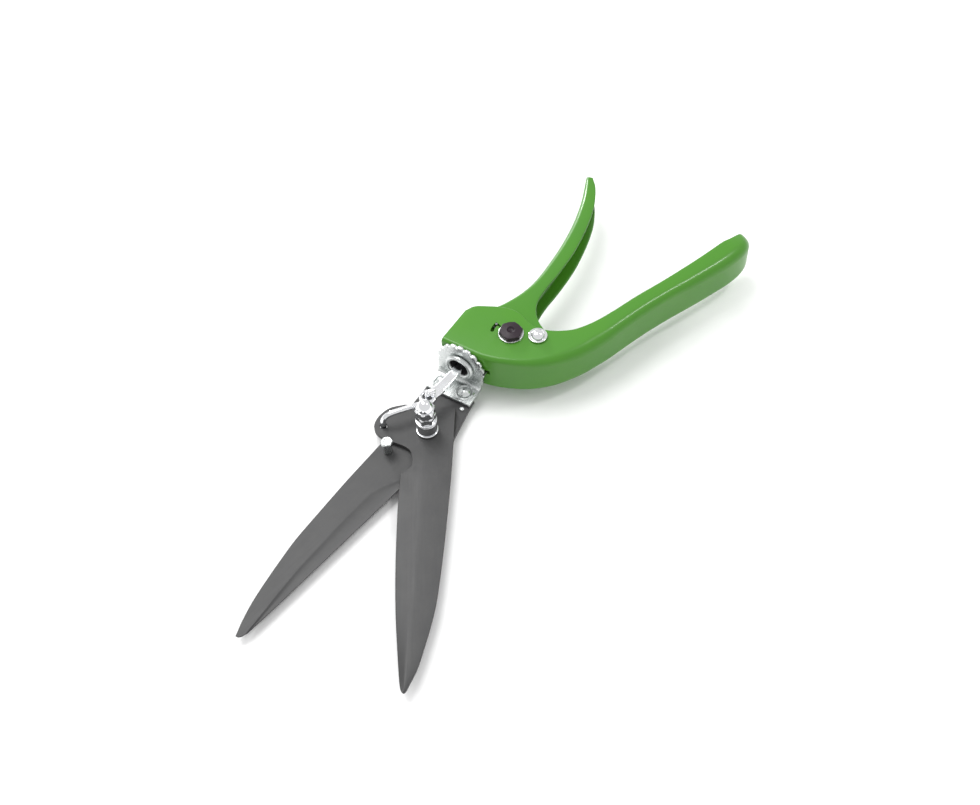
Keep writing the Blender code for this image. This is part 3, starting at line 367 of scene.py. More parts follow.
def moulded_nylon(name, main, sheen_roughness):
    """Injection moulded glass-filled nylon: near black, with a fine spark-eroded grain about 0.4 mm
    across that keeps the gloss low."""
    made, tree, shader, place = new_finish(name, ior=1.53)
    grain = add_node(tree, "ShaderNodeTexNoise", {"Vector": place, "Scale": 2400.0, "Detail": 2.0})
    cloud = add_node(tree, "ShaderNodeTexNoise", {"Vector": place, "Scale": 220.0, "Detail": 2.0})
    colour = add_node(tree, "ShaderNodeMix", {
        "Factor": cloud.outputs["Fac"], "A": linear(main), "B": linear("#2B2A2D")}, data_type="RGBA")
    tree.links.new(colour.outputs["Result"], shader.inputs["Base Color"])
    shader.inputs["Roughness"].default_value = sheen_roughness
    bump = add_node(tree, "ShaderNodeBump", {
        "Height": grain.outputs["Fac"], "Strength": 0.35, "Distance": 0.00006})
    tree.links.new(bump.outputs["Normal"], shader.inputs["Normal"])
    return made


nylon = moulded_nylon("black_moulded_nylon", "#1B1A1D", 0.5)


def paint(node, finish):
    """Puts a finish on a CAD node that keeps its own shape."""
    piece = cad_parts[node]
    piece.data.materials.clear()
    piece.data.materials.append(finish)


paint("grip_end_plug", nylon)


# ---------------------------------------------------------------------------------------------------
# Handle pivot: a chrome-plated rivet with a domed head, turned over below on plated washers. Between
# the cheeks it carries sprung washers, a bush, the return spring and the wire pawl that clicks on the disc.
# ---------------------------------------------------------------------------------------------------
def plated_metal(name, main, deep, roughness, patch=180.0, wear=0.12):
    """Plated steel: a bright mirror for chrome, a softer one for passivated zinc. Cloudy patches a few
    millimetres across vary its colour and gloss, and fine handling scratches break up highlights."""
    made, tree, shader, place = new_finish(name, metallic=1.0)
    cloud = add_node(tree, "ShaderNodeTexNoise", {"Vector": place, "Scale": patch, "Detail": 4.0})
    colour = add_node(tree, "ShaderNodeMix", {
        "Factor": cloud.outputs["Fac"], "A": linear(main), "B": linear(deep)}, data_type="RGBA")
    tree.links.new(colour.outputs["Result"], shader.inputs["Base Color"])
    stretched = add_node(tree, "ShaderNodeMapping", {"Vector": place, "Scale": (300.0, 4200.0, 900.0),
                                                     "Rotation": (0.3, 0.2, 0.6)})
    scratches = add_node(tree, "ShaderNodeTexNoise", {"Vector": stretched.outputs["Vector"], "Scale": 1.0})
    gloss = add_node(tree, "ShaderNodeMapRange", {
        "Value": scratches.outputs["Fac"], "From Min": 0.35, "From Max": 0.7,
        "To Min": roughness, "To Max": roughness + wear})
    tree.links.new(gloss.outputs["Result"], shader.inputs["Roughness"])
    bump = add_node(tree, "ShaderNodeBump", {
        "Height": scratches.outputs["Fac"], "Strength": 0.08, "Distance": 0.00003})
    tree.links.new(bump.outputs["Normal"], shader.inputs["Normal"])
    return made


chrome = plated_metal("bright_chrome_plate", "#F4F5F7", "#E9EAEC", 0.07, wear=0.08)
zinc = plated_metal("clear_zinc_plate", "#DCDFDE", "#C6CAC9", 0.22, wear=0.14)
spring_steel = plated_metal("oil_tempered_spring_steel", "#8F8F92", "#6E6E72", 0.32)

SEAT = FIXED_HALF + 0.25
RIVET_TOP = SEAT + 1.1
over = np.radians(np.linspace(90, 0, 14))
under = np.radians(np.linspace(0, -90, 10))
dome = np.column_stack([3.3 * np.cos(over), RIVET_TOP + 2.3 * np.sin(over)])
closing = np.column_stack([3.3 * np.cos(under), -RIVET_TOP + 1.6 * np.sin(under)])
rivet = surface("handle_rivet_turned", spun(
    np.vstack([dome, [(2.5, RIVET_TOP), (2.5, -RIVET_TOP)], closing]), (*PIVOT, 0)))
finish_piece(rivet, chrome, "fixed_handle_body", "bright_chrome", "handle_rivet")

for node, inner, outer, low, high, finish, slot in (
        ("rivet_washer_upper", 2.75, 4.6, SEAT, SEAT + 0.87, chrome, "bright_chrome"),
        ("rivet_washer_lower", 2.75, 4.6, -SEAT - 0.87, -SEAT, chrome, "bright_chrome"),
        ("cheek_washer_upper", 2.8, 6.2, 8.45, 9.45, spring_steel, "spring_steel"),
        ("cheek_washer_lower", 2.8, 6.2, -9.45, -8.45, spring_steel, "spring_steel"),
        ("pivot_bush", 2.8, 3.8, -6.5, 6.5, zinc, "zinc_plate")):
    washer = surface(node + "_turned", spun(ring(inner, outer, low, high, 0.2), (*PIVOT, 0)))
    finish_piece(washer, finish, "fixed_handle_body", slot, node)


def round_bar(path, radius, upright, sides=20):
    """Grid of a round wire or bar: a circle square to the path at each point, laid out from an upright
    direction, with a small chamfer and a flat face at both ends."""
    path = np.array(path, float)
    run = np.gradient(path, axis=0)
    run = run / np.linalg.norm(run, axis=1, keepdims=True)
    up = np.array(upright, float) - run * (run @ np.array(upright, float))[:, None]
    up = up / np.linalg.norm(up, axis=1, keepdims=True)
    side = np.cross(run, up)
    angle = np.linspace(0, 2 * math.pi, sides, endpoint=False)[None, :, None]
    circle = np.cos(angle) * up[:, None] + np.sin(angle) * side[:, None]
    chamfer = 0.22 * radius
    first, last = path[0] - run[0] * chamfer, path[-1] + run[-1] * chamfer
    rings = path[:, None] + radius * circle
    caps = [first + 0 * circle[0], first + (radius - chamfer) * circle[0]]
    ends = [last + (radius - chamfer) * circle[-1], last + 0 * circle[-1]]
    return np.concatenate([np.array(caps), rings, np.array(ends)])


COIL_R = 4.8
coil_angle = np.radians(np.linspace(62, 62 + 360 * 3.4, 170))
coil = np.column_stack([
    PIVOT[0] + COIL_R * np.cos(coil_angle), PIVOT[1] + COIL_R * np.sin(coil_angle),
    np.linspace(-4.2, 1.6, len(coil_angle))])
spring_path = np.vstack([
    np.linspace((-21.2, 35.0, -4.2), coil[0], 8)[:-1], coil,
    flowing([coil[-1], (-36.5, 18.0, 1.6), (-41.0, 7.4, 1.6)], 6)[1:]])
spring = surface("return_spring_wire", round_bar(spring_path, 0.7, (0, 0, 1), 12))
finish_piece(spring, spring_steel, "fixed_handle_body", "spring_steel", "return_spring")
paint("index_pawl", spring_steel)


# ---------------------------------------------------------------------------------------------------
# Lock: a low black six-sided knob with a dished middle on a thin plated washer. Its catch swings under
# the cheek, with a peg that shows in the curved slot.
# ---------------------------------------------------------------------------------------------------
def black_oxide_finish():
    """Steel blackened in hot oxide and oiled: very dark with a plum cast, an eggshell gloss, and a faint
    cast grain about 0.6 mm across."""
    made, tree, shader, place = new_finish("plum_black_oxide", ior=1.4)
    cloud = add_node(tree, "ShaderNodeTexNoise", {"Vector": place, "Scale": 260.0, "Detail": 3.0})
    colour = add_node(tree, "ShaderNodeMix", {
        "Factor": cloud.outputs["Fac"], "A": linear("#241320"), "B": linear("#1B0F18")}, data_type="RGBA")
    tree.links.new(colour.outputs["Result"], shader.inputs["Base Color"])
    grain = add_node(tree, "ShaderNodeTexNoise", {"Vector": place, "Scale": 1700.0, "Detail": 2.0})
    gloss = add_node(tree, "ShaderNodeMapRange", {
        "Value": cloud.outputs["Fac"], "From Min": 0.3, "From Max": 0.7, "To Min": 0.38, "To Max": 0.5})
    tree.links.new(gloss.outputs["Result"], shader.inputs["Roughness"])
    bump = add_node(tree, "ShaderNodeBump", {
        "Height": grain.outputs["Fac"], "Strength": 0.2, "Distance": 0.00005})
    tree.links.new(bump.outputs["Normal"], shader.inputs["Normal"])
    return made


black_oxide = black_oxide_finish()
KNOB_LOW = SEAT + 0.625
KNOB_TOP = KNOB_LOW + 2.4
knob_profile = np.vstack([
    [(0, KNOB_TOP - 0.9), (1.0, KNOB_TOP - 0.85), (1.5, KNOB_TOP - 0.55), (1.8, KNOB_TOP - 0.12),
     (2.05, KNOB_TOP)],
    eased([(4.7, KNOB_TOP), (5.3, KNOB_TOP - 0.75), (6.3, KNOB_TOP - 1.1), (6.3, KNOB_LOW), (2.4, KNOB_LOW),
           (2.4, 8.55), (0, 8.55)], 0.25)[5:-6],
    [(2.4, 8.55), (0, 8.55)],
])
knob = surface("lock_knob_head", spun(knob_profile, (*KNOB, 0), steps=96, flats=10.3, turn=12))
finish_piece(knob, black_oxide, "lock_body", "black_oxide", "lock_knob")
knob_washer = surface("knob_washer_turned", spun(ring(2.7, 6.2, SEAT, SEAT + 0.5, 0.15), (*KNOB, 0)))
finish_piece(knob_washer, zinc, "fixed_handle_body", "zinc_plate", "knob_washer")
paint("lock_catch", spring_steel)


# ---------------------------------------------------------------------------------------------------
# Swivelling head: a scalloped index disc with its foot bent forward, pressed from 2 mm steel and zinc
# plated. A rolled tube runs back through the head, and a domed rivet in a dished seat holds the blade.
# ---------------------------------------------------------------------------------------------------
DISC_BACK, DISC_FRONT = -1.55, 0.25
DISC_R, TEETH, TOOTH_DEPTH = 13.1, 18, 1.1
FOOT_TOP, FOOT_X = -11.4, 12.0
FOOT_Y = (-13.2, 11.2)

# The upright plate's outline, as a distance from the axis: scallops over the top, then straight sides.
angle = np.linspace(0, 2 * math.pi, TEETH * 24, endpoint=False)
scallop = DISC_R - TOOTH_DEPTH * ((1 + np.cos(TEETH * angle)) / 2) ** 3
side = np.where(np.cos(angle) > 0, FOOT_Y[1] + 0.8, -FOOT_Y[0]) / np.maximum(np.abs(np.cos(angle)), 1e-6)
hem = 8.6 / np.maximum(-np.sin(angle), 1e-6)
outline = np.where(np.sin(angle) < math.sin(math.radians(-10)), np.minimum(side, hem), scallop)
# Across the plate: share of the way from the bore to the outline, millimetres short of it, and x.
disc_section = np.array([
    (0, 0, DISC_BACK), (0, 0, DISC_FRONT), (0.3, 0, DISC_FRONT), (0.8, 0, DISC_FRONT), (1, 0.5, DISC_FRONT),
    (1, 0.18, DISC_FRONT - 0.14), (1, 0, DISC_FRONT - 0.5), (1, 0, DISC_BACK + 0.4),
    (1, 0.15, DISC_BACK + 0.1), (1, 0.4, DISC_BACK), (0, 0, DISC_BACK)])
radius = 6.45 + disc_section[:, :1] * (outline - 6.45) - disc_section[:, 1:2]
disc_grid = np.dstack([disc_section[:, 2:] + 0 * radius, radius * np.cos(angle), radius * np.sin(angle)])

# The foot: a flat strip section carried down from the plate, round its bend and out to the square end.
bend = np.radians(np.linspace(180, 270, 16))
middle = DISC_BACK + 1.1
foot_path = np.vstack([
    [(middle, -8.4), (middle, FOOT_TOP + 1.8)],
    np.column_stack([middle + 2.6 + 2.6 * np.cos(bend), FOOT_TOP + 1.6 + 2.6 * np.sin(bend)]),
    [(8.0, FOOT_TOP - 1.0), (FOOT_X - 0.2, FOOT_TOP - 1.0), (FOOT_X, FOOT_TOP - 1.0)]])
run = np.gradient(foot_path, axis=0)
run = run / np.linalg.norm(run, axis=1, keepdims=True)
normal = np.column_stack([-run[:, 1], run[:, 0]])
strip = eased([(FOOT_Y[0], -1), (FOOT_Y[1], -1), (FOOT_Y[1], 1), (FOOT_Y[0], 1)], 0.3)
thick = np.where(np.arange(len(foot_path)) < len(foot_path) - 1, 1.0, 0.75)[:, None]
foot_grid = np.dstack([
    foot_path[:, :1] + normal[:, :1] * strip[:, 1] * thick,
    np.repeat(strip[None, :, 0], len(foot_path), axis=0),
    foot_path[:, 1:] + normal[:, 1:] * strip[:, 1] * thick])
shut = [np.repeat(row.mean(axis=0)[None], len(strip), axis=0)[None] for row in (foot_grid[0], foot_grid[-1])]
bracket = surface("index_plate_and_foot", disc_grid, np.concatenate([shut[0], foot_grid, shut[1]]))
finish_piece(bracket, zinc, "swivel_head", "zinc_plate", "index_bracket")

dish = [(4.9, FOOT_TOP + 0.02), (4.3, FOOT_TOP + 0.5), (3.7, FOOT_TOP + 0.32), (3.3, FOOT_TOP + 0.02)]
arch = np.radians(np.linspace(90, 0, 14))
rivet_head = np.column_stack([3.1 * np.cos(arch), FOOT_TOP + 0.15 + 2.3 * np.sin(arch)])
rivet_tail = [(2.0, FOOT_TOP + 0.15), (2.0, -16.1), (3.4, -16.1), (3.4, -16.6), (2.6, -17.4), (0, -17.4)]
for node in ("foot_rivet", "foot_rivet_far"):
    low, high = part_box(node)
    spot = tuple((low + high) / 2 / MM - HOME / MM)[:2]
    foot_rivet = surface(
        node + "_domed", spun(np.vstack([rivet_head, rivet_tail]), (*spot, 0)),
        spun(eased(dish, 0.2), (*spot, 0)))
    finish_piece(foot_rivet, zinc, "swivel_head", "zinc_plate", node)

lip = DISC_FRONT + 0.15
tube_profile = np.vstack([
    [(5.1, -8.9), (5.1, lip + 1.1)],
    arc((6.35, lip + 1.15), 1.2, 175, -60, 20),
    [(6.2, lip), (6.2, -8.9), (5.1, -8.9)]])
tube = surface("swivel_tube_rolled", spun(tube_profile, (0, 0, 0), "X", 96))
finish_piece(tube, zinc, "swivel_head", "zinc_plate", "swivel_tube")
# Painted shade: a thin black nylon sleeve inside the rolled tube stands in for the shadow that falls down
# the bore.
bore_shade_sleeve = surface("tube_bore_painted_shade_sleeve", spun(ring(4.9, 5.08, -8.8, lip + 0.9, 0.04), (0, 0, 0), "X", 96))
finish_piece(bore_shade_sleeve, nylon, "swivel_head", "dark_nylon", "swivel_tube")
swivel_washer = surface("swivel_washer_turned", spun(ring(6.5, 9.0, -4.5, -3.5, 0.2), (0, 0, 0), "X"))
finish_piece(swivel_washer, spring_steel, "swivel_head", "spring_steel", "swivel_washer")
paint("tube_clip", spring_steel)


# ---------------------------------------------------------------------------------------------------
# Pull rod and link: a plated bar with a flattened eye, and a bright wire bent into a hook at both ends,
# which carries the pull from the rod to the upper blade's ear. A plain steel yoke takes the rod's button.
# ---------------------------------------------------------------------------------------------------
EYE = (24.5, -3.5)
EAR = (42.5, -18.3)
UPPER_TOP, LOWER_TOP = -11.2, -13.65
BAR_T = 2.2
# The flat end's plan: points along its middle, with half its width at each.
bar_plan = flowing([
    (-4.2, 0.0, 1.2), (-2.5, 0.0, 2.1), (0.0, 0.0, 2.3), (4.0, 0.0, 2.3), (12.0, -0.5, 2.5),
    (18.5, -1.55, 2.65), (22.0, -2.7, 2.9), (23.4, -3.2, 2.4)])
run = np.gradient(bar_plan[:, :2], axis=0)
run = run / np.linalg.norm(run, axis=1, keepdims=True)
section = eased([(-1, -1), (1, -1), (1, 1), (-1, 1)], 0.3, 6)
bar_grid = np.dstack([
    bar_plan[:, :1] - run[:, 1:] * section[:, 0] * bar_plan[:, 2:],
    bar_plan[:, 1:2] + run[:, :1] * section[:, 0] * bar_plan[:, 2:],
    np.repeat(section[None, :, 1] * BAR_T / 2, len(bar_plan), axis=0)])
shut = [np.repeat(row.mean(axis=0)[None], len(section), axis=0)[None] for row in (bar_grid[0], bar_grid[-1])]
rod = surface(
    "pull_rod_and_eye",
    round_bar(np.linspace((-16.1, 0, 0), (-2.0, 0, 0), 6), 1.7, (0, 0, 1), 28),
    np.concatenate([shut[0], bar_grid, shut[1]]),
    spun(eased([(0, -17.4), (3.1, -17.4), (3.1, -15.5), (0, -15.5)], 0.3, closed=False), (0, 0, 0), "X"),
    spun(ring(2.45, 4.2, -1.38, 1.38, 0.6), (*EYE, 0)))
finish_piece(rod, chrome, "rod_body", "zinc_plate", "pull_rod")

x, y = EAR
a, b = EYE
hook = [
    (x + 1.9, y - 3.6, LOWER_TOP - 1.5), (x + 0.9, y - 1.8, LOWER_TOP - 1.5),
    (x + 0.1, y - 0.3, LOWER_TOP - 1.0), (x, y, -13.0), (x, y, UPPER_TOP + 2.2),
    (x - 0.4, y + 0.4, UPPER_TOP + 4.8), (x - 1.8, y + 1.5, UPPER_TOP + 6.8),
    (x - 4.6, y + 3.8, UPPER_TOP + 7.8), (x - 9.0, y + 7.4, UPPER_TOP + 7.9),
    (a + 5.6, b - 4.6, -3.3), (a + 2.8, b - 2.3, -3.4), (a + 0.8, b - 0.7, -3.3), (a, b, -2.2),
    (a, b, -0.4), (a, b, 2.2), (a - 0.4, b + 0.3, 3.1), (a - 1.6, b + 1.3, 3.6), (a - 2.8, b + 2.3, 3.7),
]
link = surface("link_wire_bent", round_bar(flowing(hook, 6), 1.38, (y - b, a - x, 0), 22))
finish_piece(link, chrome, "link_body", "bright_chrome", "link_wire")
paint("rod_yoke", spring_steel)
paint("rod_pin", zinc)


# ---------------------------------------------------------------------------------------------------
# Blades: two leaves of hardened steel with a dark satin coating. The lower one lies flat with its upper
# face hollow ground along the edge. The upper one is ground to a soft ridge, and has an ear for the link.
# ---------------------------------------------------------------------------------------------------
BLADE_PIVOT = (34.3, 1.6)
LOWER_AT, UPPER_AT = -10.2, 32.7
LOWER_LENGTH, UPPER_LENGTH = 133.6, 134.4
LOWER_BOTTOM = -15.95
UPPER_BOTTOM = -13.4
EDGE_T = 0.5


def coated_blade_steel(name, direction):
    """Hardened blade steel with a thin dark low-friction coating over lengthwise grinding: a graphite
    satin with grinding lines about 0.5 mm apart and cloudy patches a centimetre or so long."""
    made, tree, shader, place = new_finish(name, ior=1.5)
    lined = add_node(tree, "ShaderNodeMapping", {
        "Vector": place, "Rotation": (0, 0, math.radians(direction)), "Scale": (1 / 60, 1 / 2400, 1 / 500)},
        vector_type="TEXTURE")
    lines = add_node(tree, "ShaderNodeTexNoise", {
        "Vector": lined.outputs["Vector"], "Scale": 1.0, "Detail": 3.0})
    cloud = add_node(tree, "ShaderNodeTexNoise", {"Vector": place, "Scale": 110.0, "Detail": 5.0,
                                                  "Roughness": 0.65})
    tone = add_node(tree, "ShaderNodeMapRange", {
        "Value": cloud.outputs["Fac"], "From Min": 0.3, "From Max": 0.7})
    colour = add_node(tree, "ShaderNodeMix", {
        "Factor": tone.outputs["Result"], "A": linear("#333334"), "B": linear("#393939")}, data_type="RGBA")
    tree.links.new(colour.outputs["Result"], shader.inputs["Base Color"])
    gloss = add_node(tree, "ShaderNodeMapRange", {
        "Value": lines.outputs["Fac"], "From Min": 0.3, "From Max": 0.7, "To Min": 0.44, "To Max": 0.52})
    tree.links.new(gloss.outputs["Result"], shader.inputs["Roughness"])
    bump = add_node(tree, "ShaderNodeBump", {
        "Height": lines.outputs["Fac"], "Strength": 0.1, "Distance": 0.00003})
    tree.links.new(bump.outputs["Normal"], shader.inputs["Normal"])
    return made


def to_blade(direction, points):
    """Turns (x, y) from HOME into (distance along the blade from its pivot, distance to its left)."""
    turn = math.radians(direction)
    away = np.array(points, float) - np.array(BLADE_PIVOT)
    return np.column_stack([
        away[:, 0] * math.cos(turn) + away[:, 1] * math.sin(turn),
        away[:, 1] * math.cos(turn) - away[:, 0] * math.sin(turn)])


def leaf(direction, right, left, top_of, bottom_of, rows=300, across=44):
    """Grid of a blade. Its right and left outlines are (along, aside) points that start and end together.
    Each row across runs up the right side, over the top, down the left side and back underneath, with
    the heights of top and bottom given as functions of the place, and 0.15 mm eased edges."""
    start, end = right[0, 0], right[-1, 0]
    t = np.linspace(0, 1, rows)
    along = start + (end - start) * (0.55 * t + 0.45 * (1 - np.cos(math.pi * t)) / 2)
    r = np.interp(along, right[:, 0], right[:, 1])[:, None]
    l = np.interp(along, left[:, 0], left[:, 1])[:, None]
    ease = np.minimum(0.15, 0.2 * (l - r))
    share = np.linspace(0, 1, across)[None, :]
    over = r + ease + (l - r - 2 * ease) * share
    far = over[:, ::-1]
    aside = np.hstack([r, r, over, l, l, far])
    u = np.repeat(along[:, None], aside.shape[1], axis=1)
    top, bottom = top_of(u[:, :across], over, r, l), bottom_of(u[:, :across], far, r, l)
    height = np.hstack([
        bottom[:, -1:] + ease, top[:, :1] - ease, top, top[:, -1:] - ease, bottom[:, :1] + ease, bottom])
    turn = math.radians(direction)
    return np.dstack([
        BLADE_PIVOT[0] + u * math.cos(turn) - aside * math.sin(turn),
        BLADE_PIVOT[1] + u * math.sin(turn) + aside * math.cos(turn), height])


def step_up(value, low, high):
    """Smooth step from 0 at low to 1 at high."""
    share = np.clip((value - low) / (high - low), 0, 1)
    return share * share * (3 - 2 * share)


n = UPPER_LENGTH
upper_right = np.vstack([
    flowing(to_blade(UPPER_AT, [
        (26.9, -16.2), (32.0, -21.4), (38.0, -23.4), (43.4, -22.9), (46.9, -20.4), (48.5, -16.7),
        (48.6, -12.0), (48.0, -7.0), (47.7, -2.4), (48.6, 1.0), (50.9, 3.2), (53.2, 4.9), (55.6, 5.7),
        (58.4, 4.9)])),
    flowing([
        (23.6, -13.0), (n - 96.0, -14.1), (n - 72.0, -14.9), (n - 53.0, -15.1), (n - 36.0, -14.8),
        (n - 18.0, -13.9), (n - 5.6, -13.1), (n - 1.4, -12.4), (n, -11.4)])])
upper_left = np.vstack([
    to_blade(UPPER_AT, [(26.9, -16.2), (23.2, -9.0), (20.2, -1.8), (16.8, 4.4)]),
    flowing([
        (n - 146.4, 13.7), (n - 141.0, 13.3), (n - 127.4, 12.3), (n - 110.0, 11.0), (n - 90.0, 9.1),
        (n - 71.0, 7.1), (n - 52.6, 4.8), (n - 36.8, 2.2), (n - 18.8, -2.7), (n - 10.0, -5.6),
        (n - 3.4, -8.8), (n - 0.6, -10.2), (n, -11.4)])])
RIDGE = np.array([(12.0, -1.0), (35.0, -3.6), (59.0, -5.8), (87.0, -7.4), (113.0, -9.6), (134.4, -11.4)])


def upper_top(u, aside, r, l):
    """Flat over the bolt, then a soft ridge: the height falls away to the edge as a hyperbola that is
    straight far from the ridge and round over it, and falls a little in a parabola towards the back."""
    ridge = np.interp(u, RIDGE[:, 0], RIDGE[:, 1])
    fade = step_up(u, 12.0, 34.0)
    q = (ridge - aside) / np.maximum(ridge - r, 0.5)
    fall = (np.sqrt(q * q + 0.03) + q) / (math.sqrt(1.03) + 1)
    crown = np.maximum(aside - ridge, 0) / np.maximum(l - ridge, 0.5)
    return UPPER_TOP - fade * (1.65 * fall + 0.35 * crown**2) - 0.1


def upper_bottom(u, aside, r, l):
    """Flat shearing face."""
    return np.full_like(aside, UPPER_BOTTOM)


upper_steel = coated_blade_steel("coated_upper_blade_steel", UPPER_AT)
upper = surface("upper_blade_ground", leaf(UPPER_AT, upper_right, upper_left, upper_top, upper_bottom))
cut(upper, drill(1.95, UPPER_BOTTOM - 1, UPPER_TOP + 1, (*EAR, 0)),
    drill(3.3, UPPER_BOTTOM - 1, UPPER_TOP + 1, (*BLADE_PIVOT, 0)))
finish_piece(upper, upper_steel, "upper_blade_body", "blade_steel", "upper_blade")

n = LOWER_LENGTH
heel = to_blade(LOWER_AT, [
    (2.6, -13.8), (19.0, -14.1), (26.0, -14.3), (33.0, -14.5), (42.0, -14.7), (51.4, -14.9)])
lower_right = np.vstack([
    heel[:1], flowing(heel[1:]),
    flowing([
        (n - 102.0, -12.2), (n - 88.4, -11.0), (n - 69.6, -8.9), (n - 51.0, -6.6), (n - 38.0, -3.9),
        (n - 26.6, -1.2), (n - 16.0, 1.7), (n - 7.0, 5.0), (n - 2.6, 7.0), (n, 8.2)])])
back = to_blade(LOWER_AT, [
    (2.6, 11.0), (11.8, 11.5), (26.0, 13.4), (36.0, 14.8), (47.0, 13.6), (56.0, 10.6)])
lower_left = np.vstack([
    heel[:1], back[:1], flowing(back[:-1]),
    flowing([(26.0, 11.3), (n - 42.0, 11.5), (n - 10.0, 11.4), (n - 3.0, 10.9), (n - 0.4, 9.6), (n, 8.2)])])
HOLLOW = np.array([
    (24.0, 11.2), (28.9, 7.9), (36.4, 4.4), (43.0, 2.8), (59.0, 3.0), (77.0, 4.3), (94.0, 5.6), (110.0, 7.9),
    (120.0, 9.5), (133.6, 11.4)])


def lower_top(u, aside, r, l):
    """Flat, with a hollow ground band along the edge: between its curved border and the edge the height
    dips in a parabola by a third of a millimetre."""
    border = np.interp(u, HOLLOW[:, 0], HOLLOW[:, 1])
    q = np.clip((aside - border) / np.maximum(l - border, 0.3), 0, 1)
    return LOWER_TOP - 0.42 * 4 * q * (1 - q) * step_up(u, 24.0, 32.0)


def lower_bottom(u, aside, r, l):
    """Flat, with a bevel 9 mm wide that rises underneath to leave a thin edge."""
    q = np.clip(1 - (l - aside) / 9.0, 0, 1) * step_up(u, 14.0, 26.0)
    return LOWER_BOTTOM + q * (LOWER_TOP - EDGE_T - LOWER_BOTTOM)


lower_steel = coated_blade_steel("coated_lower_blade_steel", LOWER_AT)
lower = surface(
    "lower_blade_ground", leaf(LOWER_AT, lower_right, lower_left, lower_top, lower_bottom), corner=24)
finish_piece(lower, lower_steel, "swivel_head", "blade_steel", "lower_blade")
paint("tang_dowel", zinc)


# ---------------------------------------------------------------------------------------------------
# Blade pivot: a hexagon bolt up through both blades, then a plated washer, a deep brake sleeve, a seat
# washer, a lock nut and a tall cap nut, all bright chrome. A smaller bolt in a sleeve stops the ear.
# ---------------------------------------------------------------------------------------------------
def node_span(node):
    """Lowest and highest height of a CAD node, in millimetres from HOME."""
    low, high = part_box(node)
    return (low.z - HOME.z) / MM, (high.z - HOME.z) / MM


centre = (*BLADE_PIVOT, 0)
for node, inner, outer, radius in (
        ("blade_washer", 3.25, 5.4, 0.35), ("brake_collar", 3.25, 5.0, 0.6), ("nut_washer", 3.25, 5.2, 0.3)):
    piece = surface(node + "_turned", spun(ring(inner, outer, *node_span(node), radius), centre))
    finish_piece(piece, chrome, "swivel_head", "bright_chrome", node)


def hex_nut(name, flats, bore, low, high, centre, turn, chamfer=0.55):
    """Hexagon nut: a washer profile with chamfered rims, clipped by the hexagon."""
    corner = flats / math.sqrt(3)
    rims = [
        (bore, low), (bore, high), (flats / 2 - 0.1, high), (corner, high - chamfer),
        (corner, low + chamfer), (flats / 2 - 0.1, low)]
    return surface(name, spun(eased(rims, 0.15), centre, steps=120, flats=flats, turn=turn), corner=28)


nut = hex_nut("lock_nut_hexagon", 8.6, 3.25, *node_span("lock_nut"), centre, 8)
finish_piece(nut, chrome, "swivel_head", "bright_chrome", "lock_nut")
low, high = node_span("cap_nut")
shoulder = low + 0.5 * (high - low)
crown = np.column_stack([
    4.0 * np.cos(np.radians(np.linspace(90, 0, 16))),
    shoulder - 0.3 + (high - shoulder + 0.3) * np.sin(np.radians(np.linspace(90, 0, 16)))])
cap_profile = np.vstack([crown, [
    (4.05, shoulder), (4.4, shoulder), (5.08, shoulder - 0.6), (5.08, low + 0.6), (4.3, low), (3.25, low),
    (3.25, low + 3.8), (0, low + 4.2)]])
cap = surface("cap_nut_domed", spun(cap_profile, centre, steps=120, flats=8.8, turn=20), corner=28)
finish_piece(cap, chrome, "swivel_head", "bright_chrome", "cap_nut")
paint("pivot_bolt", zinc)

STOP = (52.6, -9.2)
low, high = node_span("stop_bolt")
head_low = high - 3.35
stop = surface("stop_bolt_head", spun(np.vstack([
    [(0, high - 0.35), (1.2, high - 0.3), (1.6, high), (2.4, high), (3.0, high - 0.5), (3.0, head_low + 0.2),
     (2.6, head_low), (1.4, head_low), (1.4, low + 0.3), (1.1, low), (0, low)]]), (*STOP, 0), steps=96,
    flats=5.2, turn=10), corner=28)
finish_piece(stop, zinc, "swivel_head", "zinc_plate", "stop_bolt")
sleeve = surface("stop_sleeve_turned", spun(ring(1.65, 2.2, *node_span("stop_sleeve"), 0.2), (*STOP, 0)))
finish_piece(sleeve, zinc, "swivel_head", "zinc_plate", "stop_sleeve")
paint("stop_nut", zinc)


# ---------------------------------------------------------------------------------------------------
# Studio: a plain white sweep under the shears, one broad soft light high on the moving handle's side, two
# small ones low down for the lines along the bends, and the camera up over the blades' open side.
# ---------------------------------------------------------------------------------------------------
def white_sweep():
    """Matt white studio paper: almost white, with a faint fibre mottle a few millimetres across."""
    made, tree, shader, place = new_finish("white_studio_paper", ior=1.4)
    fibre = add_node(tree, "ShaderNodeTexNoise", {"Vector": place, "Scale": 120.0, "Detail": 2.0})
    colour = add_node(tree, "ShaderNodeMix", {
        "Factor": fibre.outputs["Fac"], "A": linear("#F8F8F8"), "B": linear("#F4F4F4")}, data_type="RGBA")
    tree.links.new(colour.outputs["Result"], shader.inputs["Base Color"])
    shader.inputs["Roughness"].default_value = 0.9
    return made


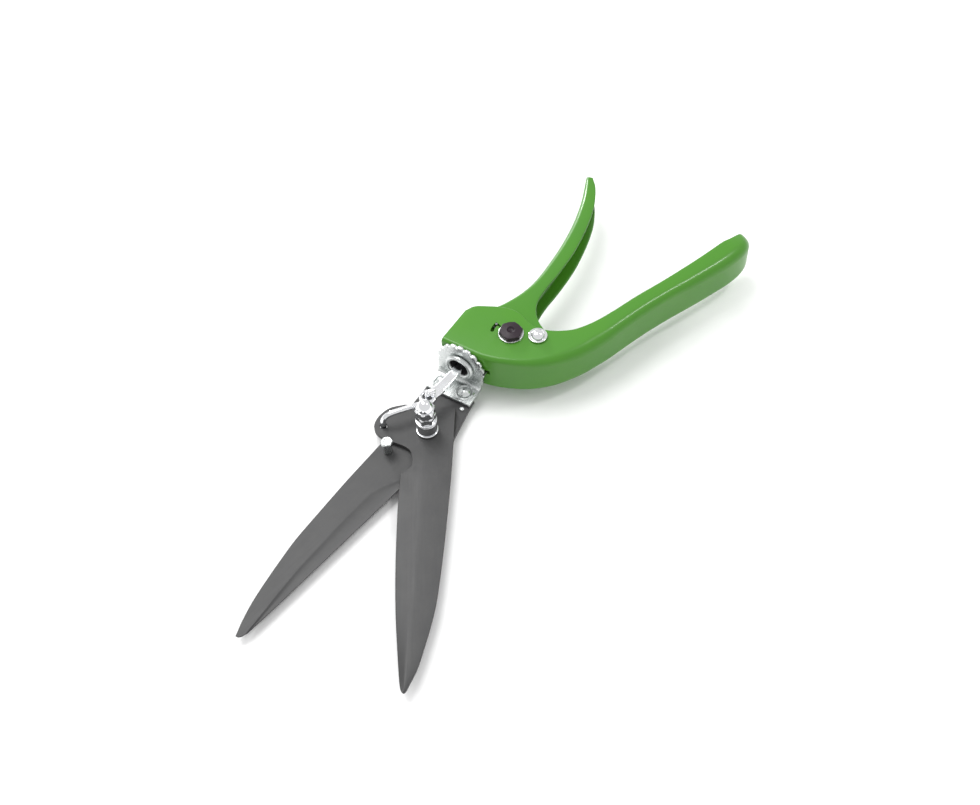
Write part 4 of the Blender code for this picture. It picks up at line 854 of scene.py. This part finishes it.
floor_mesh = bpy.data.meshes.new("floor")
floor_z = cad_box[0][2] - 0.2 * MM
FLOOR_HALF = 4.0
corners = [(-FLOOR_HALF, -FLOOR_HALF), (FLOOR_HALF, -FLOOR_HALF), (FLOOR_HALF, FLOOR_HALF),
           (-FLOOR_HALF, FLOOR_HALF)]
floor_mesh.from_pydata([(x, y, floor_z) for x, y in corners], [], [(0, 1, 2, 3)])
floor = bpy.data.objects.new("floor", floor_mesh)
floor_mesh.materials.append(white_sweep())
bpy.context.scene.collection.objects.link(floor)

world = bpy.data.worlds.new("white_room")
bpy.context.scene.world = world
world.use_nodes = True
world.node_tree.nodes["Background"].inputs["Color"].default_value = (1, 1, 1, 1)
world.node_tree.nodes["Background"].inputs["Strength"].default_value = 0.82


def softbox(name, direction, away, size, watts):
    """A round softbox that faces the shears from a direction, this many metres away."""
    data = bpy.data.lights.new(name, "AREA")
    data.shape = "DISK"
    data.size = size
    data.energy = watts
    lamp = bpy.data.objects.new(name, data)
    towards = Vector(direction).normalized()
    lamp.location = HOME + towards * away
    lamp.rotation_euler = towards.to_track_quat("Z", "Y").to_euler()
    bpy.context.scene.collection.objects.link(lamp)


softbox("key_softbox", (-0.1, -0.42, 0.9), 1.3, 0.8, 9.5)
softbox("grip_rim_light", (-0.5, -0.81, 0.31), 1.2, 0.2, 6.0)
softbox("head_rim_light", (-0.42, 0.4, 0.8), 1.2, 0.2, 2.5)

AZIMUTH, ELEVATION, ROLL, DISTANCE = 123.38, 53.7, -3.26, 0.650
aim = HOME + Vector((12.4, 23.9, 0.0)) * MM
az, el, roll = (math.radians(value) for value in (AZIMUTH, ELEVATION, ROLL))
ahead = Vector((-math.sin(az) * math.cos(el), math.cos(az) * math.cos(el), -math.sin(el)))
level = ahead.cross(Vector((0, 0, 1))).normalized()
upward = level.cross(ahead)
right = math.cos(roll) * level + math.sin(roll) * upward
above = math.cos(roll) * upward - math.sin(roll) * level
camera_data = bpy.data.cameras.new("camera")
camera_data.sensor_width = 36.0
camera_data.lens = 50.2
camera_data.clip_start = 0.01
camera = bpy.data.objects.new("camera", camera_data)
place = Matrix((right, above, -ahead)).transposed().to_4x4()
place.translation = aim - ahead * DISTANCE
camera.matrix_world = place
bpy.context.scene.collection.objects.link(camera)
bpy.context.scene.camera = camera
bpy.context.scene.view_settings.view_transform = "Standard"
